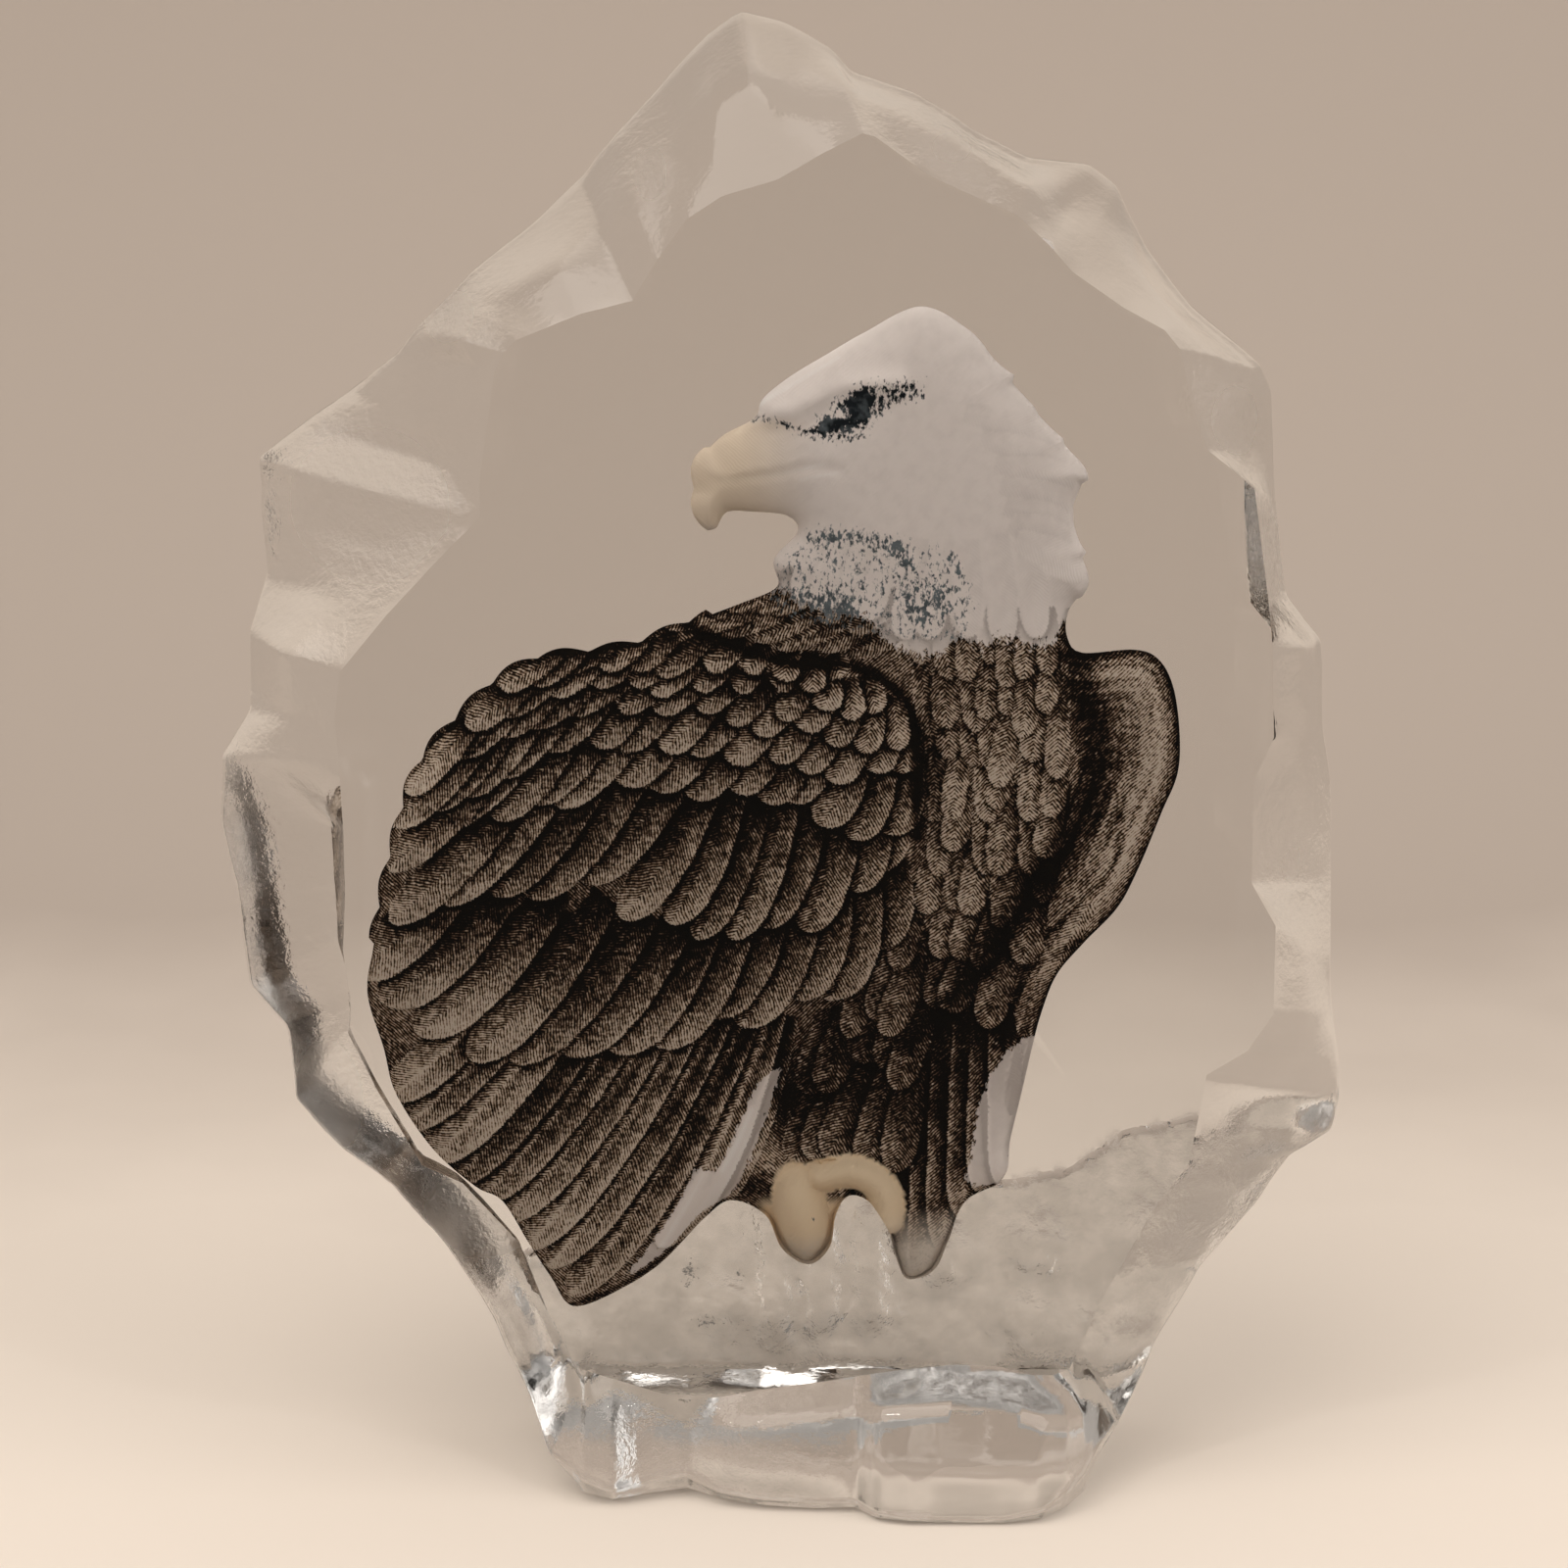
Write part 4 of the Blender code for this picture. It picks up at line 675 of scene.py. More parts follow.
    def perch_height(self, x: np.ndarray, z: np.ndarray, back_edge: np.ndarray) -> np.ndarray:
        """Height of the rough ice that the eagle stands on, which runs out at the back edge."""
        lumps = np.zeros(x.shape)
        for spot in Seed.LUMPS.rng().uniform(*self.perch_box, size=(self.lumps, 2)):
            near = np.clip(1.0 - np.hypot(x - spot[0], z - spot[1]) / self.lump_reach, 0.0, 1.0)
            lumps += eased(near) ** self.lump_power
        lumps = lumps ** (1.0 / self.lump_power)
        ridges = np.zeros(x.shape)
        for middle, width in self.ridges:
            ridges = np.maximum(ridges, bump(x - middle, self.ridge_spread * width))
        fade = np.clip((z - self.ridge_foot) / self.ridge_fade, 0.0, 1.0)
        ridges *= rounded((self.ridge_top - z) / self.ridge_round) * fade
        rng = Seed.RIPPLES.rng()
        ripples = np.zeros(x.shape)
        for _ in range(self.ripple_count):
            turn = rng.uniform(0, math.pi)
            pitch = rng.uniform(*self.ripple_pitches)
            phase = rng.uniform(0, 2 * math.pi)
            run = x * math.cos(turn) + z * math.sin(turn)
            ripples += np.sin(2 * math.pi * run / pitch + phase) / math.sqrt(self.ripple_count)
        below = eased((np.interp(x, *np.array(LEDGE_LINE).T) - z) / self.ledge_fall)
        taper, _ = distance_to(back_edge, x, z)
        height = self.perch_step + np.maximum(self.lump_rise * lumps, self.ridge_rise * ridges)
        height += self.ripple_rise * ripples
        return np.maximum(height * below * rounded(taper / self.perch_taper), 0.0)

    def sheet(self, back_edge: np.ndarray) -> Sheet:
        """Triangulate the whole back inside its edge, finely on the eagle and coarsely on its perch.

        Args:
            back_edge: The edge's corners, anticlockwise, one to a row.

        Returns:
            The triangulated back.
        """
        inner = offset_loop(self.outline, -self.edge_gap)
        outer = offset_loop(self.outline, self.edge_gap)
        eagle = np.concatenate(self.plumage.edge_lines(self.feather_step, self.edge_gap))
        spread = self.grid(self.outline.min(axis=0), self.outline.max(axis=0), self.fine)
        perch = self.grid(back_edge.min(axis=0), (back_edge[:, 0].max(), self.perch_top), self.coarse)
        ledge = smooth_line(LEDGE_LINE, 1.0, False)
        perch = np.concatenate([ledge, ledge - (0.0, self.ledge_fall), perch])
        loose = np.concatenate([points[self.fits(points, back_edge, on_eagle)] for points, on_eagle
                                in ((eagle, True), (spread, True), (perch, False))])
        _, first = np.unique(np.round(loose / (2 * self.edge_gap)).astype(int), axis=0, return_index=True)
        loose = loose[np.sort(first)]
        places = np.concatenate([back_edge, inner, outer, loose])
        rim_count, loop_count = len(back_edge), len(inner)
        loops = [(rim_count + i, rim_count + (i + 1) % loop_count) for i in range(loop_count)]
        loops += [(loop_count + i, loop_count + j) for i, j in loops]
        corners = [Vector(place) for place in places]
        verts, _, faces, origins, _, parents = delaunay_2d_cdt(
            corners, loops, [list(range(rim_count))], 0, 1e-6, True)
        flat = np.array([(v.x, v.y) for v in verts])
        kept = np.array([face for face, parent in zip(faces, parents) if parent])
        rim = np.array([min(origin) if min(origin) < rim_count else -1 for origin in origins])
        _, inside = distance_to(self.outline, flat[:, 0], flat[:, 1])
        heights = np.where(inside, self.eagle_height(flat[:, 0], flat[:, 1]),
                           self.perch_height(flat[:, 0], flat[:, 1], back_edge))
        middles = flat[kept].mean(axis=1)
        _, owner = self.plumage.over(middles[:, 0], middles[:, 1])
        return Sheet(flat, heights, kept, rim, inside[kept].any(axis=1), inside, owner)

    def fits(self, points: np.ndarray, back_edge: np.ndarray, on_eagle: bool) -> np.ndarray:
        """Which points lie on the eagle, or off it, and clear of every edge."""
        clear, within = distance_to(self.outline, points[:, 0], points[:, 1])
        room, on_back = distance_to(back_edge, points[:, 0], points[:, 1])
        return (within == on_eagle) & (clear > 2.5 * self.edge_gap) & on_back & (room > self.edge_room)

    @staticmethod
    def grid(low: Sequence[float], high: Sequence[float], step: float) -> np.ndarray:
        """Points of a staggered grid between two corners, each moved a little at random."""
        x, z = np.meshgrid(np.arange(low[0], high[0], step), np.arange(low[1], high[1], step))
        x[1::2] += step / 2
        spots = np.stack([x.ravel(), z.ravel()], axis=1)
        return spots + Seed.GRID.rng().uniform(-0.2 * step, 0.2 * step, spots.shape)


# The block

@dataclass(frozen=True)
class Patch:
    """A soft-edged patch of the drawing, and how much of something it has."""

    x: float
    z: float
    reach_x: float
    reach_z: float
    amount: float

    def at(self, x: np.ndarray, z: np.ndarray) -> np.ndarray:
        """How much of it there is at points."""
        across, up = (x - self.x) / self.reach_x, (z - self.z) / self.reach_z
        return self.amount * np.exp(-across ** 2 - up ** 2)


@dataclass(frozen=True)
class Stroke:
    """A soft line of the drawing, and how much of something it has."""

    line: Line
    amount: float
    width: float
    step: float = 1.5

    def at(self, x: np.ndarray, z: np.ndarray) -> np.ndarray:
        """How much of it there is at points."""
        return self.amount * bump(reach_to(self.line, x, z, self.step), self.width)


@dataclass(frozen=True)
class Blot:
    """A closed shape of the drawing with a soft edge, and how much of something it has."""

    shape: Line
    amount: float
    softness: float
    middle: float = 0.5

    def at(self, x: np.ndarray, z: np.ndarray) -> np.ndarray:
        """How much of it there is at points."""
        return self.amount * cover_of(self.shape, x, z, self.softness, self.middle)


@dataclass(frozen=True)
class Zone:
    """A stretch of the drawing, each of whose sides is a start and the width in which it fades in."""

    amount: float
    left: Point | None = None
    right: Point | None = None
    bottom: Point | None = None
    top: Point | None = None

    def at(self, x: np.ndarray, z: np.ndarray) -> np.ndarray:
        """How much of it there is at points."""
        share = np.full(x.shape, self.amount)
        sides = ((x, self.left, 1), (x, self.right, -1), (z, self.bottom, 1), (z, self.top, -1))
        for value, side, way in sides:
            if side is not None:
                start, width = side
                share *= eased(way * (value - start) / width)
        return share


BLOCK_LAYERS = ("rough", "smoke", "grains")
ROUGH_PATCHES = (
    Patch(-66, 162, 18, 16, 1), Patch(-53, 192, 9, 8, 0.7), Patch(-21, 214, 6, 9, 0.7),
    Patch(26, 218, 14, 10, 0.6), Patch(71, 176, 9, 11, 0.7), Patch(-82, 110, 12, 26, 0.45),
    Patch(82, 104, 8, 14, 0.6), Patch(-50, 44, 15, 12, 0.8), Patch(-76, 62, 12, 18, 0.7),
    Patch(78, 153, 6, 13, 0.7), Patch(66, 48, 16, 10, 0.5), Patch(28, 10, 15, 9, -0.2),
    Patch(-20, 12, 20, 8, 0.3),
)


@dataclass
class CrystalBlock:
    """The clear block: polished window, chipped rim, foot and carved back."""

    drawing: Drawing
    carving: Carving
    name: str = "crystal_block_cut"
    back_inset: float = 6 * MM
    ridge_inset: float = 1.2 * MM
    underside_setback: float = 2 * MM
    back_foot_height: float = 7 * MM
    back_foot_top: float = 13 * MM
    step_lean: float = 1.4 * MM
    near_ridge_depth: float = 0.9
    back_bend: Point = (0.45, 0.6)
    bevel_places: Point = (0.42, 0.62)
    bevel_depths: Point = (0.24, 0.56)
    flange_bend: Point = (0.14, 0.8)
    flange_reach: float = 7.0
    around_step: float = 5 * MM
    cuts: int = 5
    dimple_count: int = 2600
    dimple_reach: float = 3.4 * MM
    dimple_depth: float = 0.34 * MM
    smoothings: int = 3
    chip_count: int = 150
    chip_depth: float = 1.3 * MM
    chip_reach: float = 13 * MM
    chip_push: float = 0.6
    weld: float = 1e-6
    ground_clear: float = 0.5 * MM
    ripple_count: int = 26
    ripple_pitches: Point = (5.0, 16.0)
    ripple_slope: float = 0.0022
    ripple_shares: Point = (0.4, 0.6)
    least_rough: float = 0.12
    sharp_from: float = 38.0
    perch_grit: float = 0.55
    sheet: Sheet = field(init=False)

    def rim_rings(self, station: RimStation, place: float, depth: float) -> np.ndarray:
        """Points from the window's edge over the ridge to the back's edge, as x, y and z."""
        window, outer = np.array(station.window) * MM, np.array(station.outer) * MM
        outward = outer - np.array(self.drawing.centre) * MM
        outward /= np.hypot(*outward)
        window_y, back_y = self.drawing.window_y, self.drawing.back_y
        ridge = window_y + station.ridge * self.drawing.slab
        front, back = ridge - station.spread * MM, ridge + station.spread * MM
        bend_in, bend_back = self.back_bend
        rows = [
            (window, window_y),
            (window + place * (outer - window), window_y + depth * (front - window_y)),
            (outer - self.ridge_inset * outward, window_y + self.near_ridge_depth * (front - window_y)),
            (outer, front),
            (outer, back),
            (outer - bend_in * self.back_inset * outward, back + bend_back * (back_y - back)),
            (outer - self.back_inset * outward, back_y),
        ]
        return np.array([(x, y, z) for (x, z), y in rows])

    def foot_rings(self, station: FootStation) -> np.ndarray:
        """Points from the ledge over the step, the front and the underside to the back's lower edge."""
        x, chip = station.foot_x * MM, station.chip * MM
        front = self.drawing.window_y - station.front * self.drawing.foot_front
        back = self.drawing.back_y + station.back * self.drawing.foot_back
        return np.array([
            (station.ledge[0] * MM, self.drawing.window_y, station.ledge[1] * MM),
            (x, front + self.step_lean, station.step_z * MM),
            (x, front, chip),
            (x, front + chip + self.underside_setback / 2, 0.0),
            (x, back - self.underside_setback, 0.0),
            (x, back, self.back_foot_height),
            (x, self.drawing.back_y, self.back_foot_top),
        ])

    def columns(self) -> np.ndarray:
        """Columns of points round the block, with more where its stations are far apart."""
        rng = Seed.BEVELS.rng()
        bends = [(rng.uniform(*self.bevel_places), rng.uniform(*self.bevel_depths)) for _ in RIM]
        edge_x, edge_z = np.array([station.window for station in RIM]).T
        beside, _ = distance_to(self.carving.outline, edge_x, edge_z)
        bends = [self.flange_bend if reach < self.flange_reach else bend
                 for bend, reach in zip(bends, beside)]
        stations = np.array([self.rim_rings(station, *bend) for station, bend in zip(RIM, bends)]
                            + [self.foot_rings(station) for station in FOOT])
        columns = []
        for here, there in zip(stations, np.roll(stations, -1, axis=0)):
            pieces = max(1, round(float(np.linalg.norm(there[3] - here[3])) / self.around_step))
            columns.extend(here + (there - here) * share / pieces for share in range(pieces))
        return np.array(columns + [columns[0]])

    def build(self) -> bpy.types.Object:
        """Model the block and return it, placed where its solid is."""
        columns = self.columns()
        around, rows = columns.shape[0] - 1, columns.shape[1] - 1
        bm = bmesh.new()
        for name in BLOCK_LAYERS:
            bm.verts.layers.float.new(name)
        bmesh.ops.create_grid(bm, x_segments=around, y_segments=rows, size=0.5)
        for vert in bm.verts:
            column, ring = round((vert.co.x + 0.5) * around), round((vert.co.y + 0.5) * rows)
            vert.co = columns[column][ring]
        bmesh.ops.remove_doubles(bm, verts=bm.verts, dist=self.weld)
        bmesh.ops.recalc_face_normals(bm, faces=bm.faces)
        self.chip(bm)
        bmesh.ops.subdivide_edges(bm, edges=bm.edges, cuts=self.cuts, use_grid_fill=True)
        self.soften(bm)
        self.dimple(bm)
        window, back = self.edge_loops(bm)
        cut = [edge for edge in bm.edges if edge.is_boundary]
        bm.faces.new(window)
        self.fill_back(bm, back)
        bmesh.ops.recalc_face_normals(bm, faces=bm.faces)
        bmesh.ops.translate(bm, verts=bm.verts, vec=self.drawing.shift())
        return finished(bm, self.name, math.radians(self.sharp_from), cut)

    def chip(self, bm: bmesh.types.BMesh) -> None:
        """Press shallow dishes into the bevels, as chipping leaves them."""
        bm.normal_update()
        verts = [v for v in bm.verts if not v.is_boundary and v.co.z > 0.0]
        places = np.array([v.co for v in verts])
        seeds = places[Seed.CHIPS.rng().integers(0, len(places), self.chip_count)]
        nearest = np.min(np.linalg.norm(places[:, None] - seeds[None], axis=2), axis=1)
        dish = np.clip(1.0 - (nearest / self.chip_reach) ** 2, 0.0, 1.0)
        for vert, depth in zip(verts, self.chip_depth * dish):
            vert.co -= vert.normal * depth * self.chip_push

    def free_verts(self, bm: bmesh.types.BMesh) -> list[bmesh.types.BMVert]:
        """The rim's verts, apart from those on the cut edges and on the ground."""
        return [v for v in bm.verts if not v.is_boundary and v.co.z > self.ground_clear]

    def soften(self, bm: bmesh.types.BMesh) -> None:
        """Round the ridges as the polishing flame does, and keep the cut edges and the underside."""
        free = self.free_verts(bm)
        axes = {f"use_axis_{axis}": True for axis in "xyz"}
        for _ in range(self.smoothings):
            bmesh.ops.smooth_vert(bm, verts=free, factor=0.5, **axes)

    def dimple(self, bm: bmesh.types.BMesh) -> None:
        """Give the chipped bevels the small dishes and long ripples of broken ice."""
        bm.normal_update()
        free = self.free_verts(bm)
        places = np.array([v.co for v in free])
        rng = Seed.DIMPLES.rng()
        seeds = places[rng.integers(0, len(places), self.dimple_count)]
        tree = KDTree(len(seeds))
        for number, seed in enumerate(seeds):
            tree.insert(seed, number)
        tree.balance()
        nearest = np.array([tree.find(v.co)[2] for v in free])
        dish = self.dimple_depth * np.clip(1.0 - (nearest / self.dimple_reach) ** 2, 0.0, 1.0)
        ripple = np.zeros(len(free))
        for _ in range(self.ripple_count):
            way = rng.normal(size=3)
            way /= np.linalg.norm(way)
            pitch = rng.uniform(*self.ripple_pitches) * MM
            ripple += pitch * np.sin(2 * math.pi * (places @ way) / pitch + rng.uniform(0, 2 * math.pi))
        rough = np.full(len(free), self.least_rough)
        for patch in ROUGH_PATCHES:
            rough = rough + patch.at(places[:, 0] / MM, places[:, 2] / MM)
        rough = np.clip(rough, 0.0, 1.0)
        layer = bm.verts.layers.float["rough"]
        everywhere, where_rough = self.ripple_shares
        sinks = dish * rough - self.ripple_slope * ripple * (everywhere + where_rough * rough)
        for vert, sink, grit in zip(free, sinks, rough):
            vert.co -= vert.normal * sink
            vert[layer] = grit

    @staticmethod
    def edge_loops(bm: bmesh.types.BMesh) -> list[list[bmesh.types.BMVert]]:
        """The two open loops of the rim, at the window and at the back, each in order."""
        open_edges = {e for e in bm.edges if e.is_boundary}
        loops = []
        while open_edges:
            edge = open_edges.pop()
            loop = [edge.verts[0], edge.verts[1]]
            while True:
                step = next((e for e in loop[-1].link_edges if e in open_edges), None)
                if step is None:
                    break
                open_edges.remove(step)
                loop.append(step.other_vert(loop[-1]))
            loops.append(loop[:-1])
        return sorted(loops, key=lambda loop: loop[0].co.y)

    def fill_back(self, bm: bmesh.types.BMesh, loop: list[bmesh.types.BMVert]) -> None:
        """Fill the back's edge with the back face and everything carved into it."""
        area = sum(a.co.x * b.co.z - b.co.x * a.co.z for a, b in zip(loop, loop[1:] + loop[:1]))
        if area < 0.0:
            loop = loop[::-1]
        self.sheet = self.carving.sheet(np.array([(v.co.x, v.co.z) for v in loop]) / MM)
        back_y = self.drawing.back_y
        made = [loop[rim] if rim >= 0 else bm.verts.new((x * MM, back_y - height, z * MM))
                for (x, z), height, rim in zip(self.sheet.flat, self.sheet.heights, self.sheet.rim)]
        rough, smoke, grains = (bm.verts.layers.float[name] for name in BLOCK_LAYERS)
        sheet = self.sheet
        for vert, (x, z), height, on_eagle in zip(made, sheet.flat, sheet.heights, sheet.on_eagle_vert):
            raised = 0.0 if on_eagle else min(height / MM, 1.0)
            vert[rough] = self.perch_grit * raised
            # Painted shade: the glass is darker where the perch is raised.
            vert[smoke] = raised
            vert[grains] = raised * sum(patch.at(x, z) for patch in PERCH_GRAINS)
        for face in self.sheet.faces:
            bm.faces.new([made[index] for index in face])


def finished(bm: bmesh.types.BMesh, name: str, sharp: float,
             cut: Iterable[bmesh.types.BMEdge] = ()) -> bpy.types.Object:
    """Turn a bmesh into a shaded object at the origin.

    Args:
        bm: The mesh, which is freed.
        name: The piece's name.
        sharp: Angle in radians past which an edge stays sharp.
        cut: Edges that stay sharp whatever their angle.

    Returns:
        The linked object.
    """
    for face in bm.faces:
        face.smooth = True
    for edge in bm.edges:
        edge.smooth = edge.calc_face_angle(0.0) < sharp
    for edge in cut:
        edge.smooth = False
    mesh = bpy.data.meshes.new(name)
    bm.to_mesh(mesh)
    bm.free()
    piece = bpy.data.objects.new(name, mesh)
    bpy.context.scene.collection.objects.link(piece)
    return piece


# Paint

# Broad patches made paler or darker; the dark ones just below and beside the near wing are painted shade
# under its edge.
SHADES = (
    Patch(-41, 99, 12, 7, -0.16), Patch(-12, 90, 16, 6, -0.05), Patch(18, 70, 12, 15, -0.28),
    Patch(33, 84, 12, 9, -0.10), Patch(-56, 78, 12, 7, 0.20), Patch(-34, 74, 14, 5, 0.10),
    Patch(-10, 122, 26, 7, 0.06), Patch(14, 127, 7, 6, 0.16), Patch(36, 119, 10, 15, 0.12),
    Patch(24, 118, 2.4, 12, -0.45), Patch(22, 52, 11, 10, -0.12), Patch(30, 64, 6, 10, -0.08),
    Patch(-2.6, 51, 2.6, 3.4, 0.35), Patch(6, 66, 5, 9, -0.2), Patch(0.5, 61.5, 4, 6.5, -0.6),
    Patch(-5.6, 46.4, 2.8, 2.2, -0.55), Patch(-42, 38, 14, 12, 0.14),
)
FAR_SHADOW: Line = (
    (48.4, 134.3), (50.5, 126.6), (51.3, 118.3), (49.8, 111), (45.6, 103), (41, 96.2), (35.4, 88.8),
    (27.8, 77.8), (20.4, 70.4),
)
SHADOW_SPREAD = ((72, 100), (1.6, 3.2))
FAR_CREASE_SHADES: tuple[Line, ...] = (
    ((55.4, 110), (54.6, 101.5), (49.6, 95.4), (43.6, 89.4)), ((39.2, 83.4), (44.4, 85.4), (49, 88.2)),
    ((39.6, 82), (37.4, 75), (36.4, 70)),
)
PALE_QUILL: Line = (
    (-0.7, 66.5), (-3, 58.7), (-6.6, 49), (-9.8, 43.6), (-13.9, 41.4), (-19.6, 34.8), (-26.4, 30.6),
    (-21.6, 37.6), (-17.5, 44.3), (-14.2, 50), (-11.8, 49.2), (-9.9, 52.1), (-6.6, 59.3), (-3.8, 65),
)
LOWER_EDGE: Line = ((-35.6, 25.6), (-30.6, 27.3), (-26.3, 29.6), (-20.2, 33.8), (-13.6, 41), (-8.2, 44))
QUILL_GLINT: Line = ((-5.5, 60), (-7.6, 55), (-10.4, 49.6))
PALE_TAIL: Line = (
    (39.8, 71), (43, 70), (41.5, 62), (38.6, 53), (37, 46.5), (31, 46.5), (31.5, 52), (34, 64.5),
)
EYE_PATCH: Line = (
    (1.6, 172.6), (4.6, 173.8), (7.3, 176.4), (9.9, 178.6), (12.9, 180.6), (14.7, 179.2), (14.9, 176.2),
    (13.4, 173.6), (10.2, 172), (6, 171.7),
)
SPECKLED_TAIL: Line = ((12, 180.4), (17, 181.6), (22.8, 181.4), (23, 177.4), (18, 176.4), (14, 173.8))
CERE_LINE: Line = ((-5, 174.4), (-2.6, 174.6), (1.2, 173.4), (4, 172.6), (9, 171.4), (13, 172.2))
THROAT: Line = ((-2, 149), (3, 155), (22, 155.5), (30, 151), (29, 138), (0, 142))
GAPE_LINES: tuple[Line, ...] = (
    ((-10, 164.6), (-2, 165.6), (6.4, 167.4)), ((2.6, 164.8), (8.6, 166)), ((-4, 177), (9, 184.6)),
)
CHINS: tuple[Line, ...] = (
    ((2.4, 156.4), (9, 157.4), (14, 156.6), (20.8, 155), (20.4, 149.4), (17.6, 150.6), (15, 153.6),
        (8, 153.4), (3.4, 154.6)),
    ((26.4, 153.6), (28.6, 152.6), (27.4, 148.4), (25.6, 149)),
    ((-0.8, 148.4), (6, 147.4), (11.6, 147), (12.4, 141.6), (5, 142.6), (0, 145.6)),
    ((19.2, 149), (26.4, 148.4), (27, 141.6), (19.8, 141.4)),
)
PERCH_GRAINS = (
    Patch(-16, 30.6, 2.4, 3.8, 1), Patch(-12.9, 21.8, 3.6, 1.8, 1), Patch(-7.6, 30.2, 1.7, 2.4, 0.9),
    Patch(-22, 24, 7, 5, 0.45), Patch(44, 20.5, 6, 1.6, 0.8), Patch(38, 33, 9, 6, 0.35),
)


# Painted shade along the wrist's edge and in the far wing's creases, a brown line of stain along the lower
# edge, and a painted highlight along a quill.
STAIN_SHADE_AND_GLINT_STROKES = (
    Stroke(WRIST, -0.8, 0.9), Stroke(LOWER_EDGE, -0.5, 0.45), Stroke(QUILL_GLINT, 0.5, 0.5),
    *(Stroke(crease, -0.5, 0.55, 1.0) for crease in FAR_CREASE_SHADES),
)
# Painted highlights: pale lines along the gape and over the brow.
HEAD_HIGHLIGHT_STROKES = tuple(Stroke(line, 0.4, 0.4, 1.0) for line in GAPE_LINES)
PALE_BLOTS = (Blot(PALE_QUILL, 1.0, 1.8), Blot(PALE_TAIL, 1.0, 2.0))
EYE_BLOT = Blot(EYE_PATCH, 1.0, 4.0, 0.55)
EYE_GLINT = Patch(9.0, 175.4, 1.7, 0.9, 0.55)
SPECKLED_BLOT = Blot(SPECKLED_TAIL, 0.66, 3.0)
SOOT_MARKS = (
    Stroke(CERE_LINE, 0.62, 1.2, 1.0), Blot(THROAT, 0.50, 3.0), Patch(4.9, 41.2, 0.4, 0.4 / 0.6, 1.0),
    *(Blot(shape, 0.66, 3.6, 0.6) for shape in CHINS),
)
THIN_ZONES = (
    Zone(0.9, left=(15.5, 2.0), top=(43.0, 10.0)),
    Zone(0.7, left=(-4.0, 2.0), right=(18.5, 2.0), top=(39.5, 6.0)),
)
CREAM_ZONES = (
    Zone(0.7, right=(6.0, 15.0), bottom=(155.0, 3.0), top=(175.4, 2.0)),
    Zone(1.0, left=(-5.0, 2.0), right=(18.5, 2.0), top=(44.5, 2.5)),
)


def above_neck(x: np.ndarray, z: np.ndarray) -> np.ndarray:
    """How far points lie above the line where the white of the head begins."""
    return z - np.interp(x, *np.array(NECK_BORDER).T)


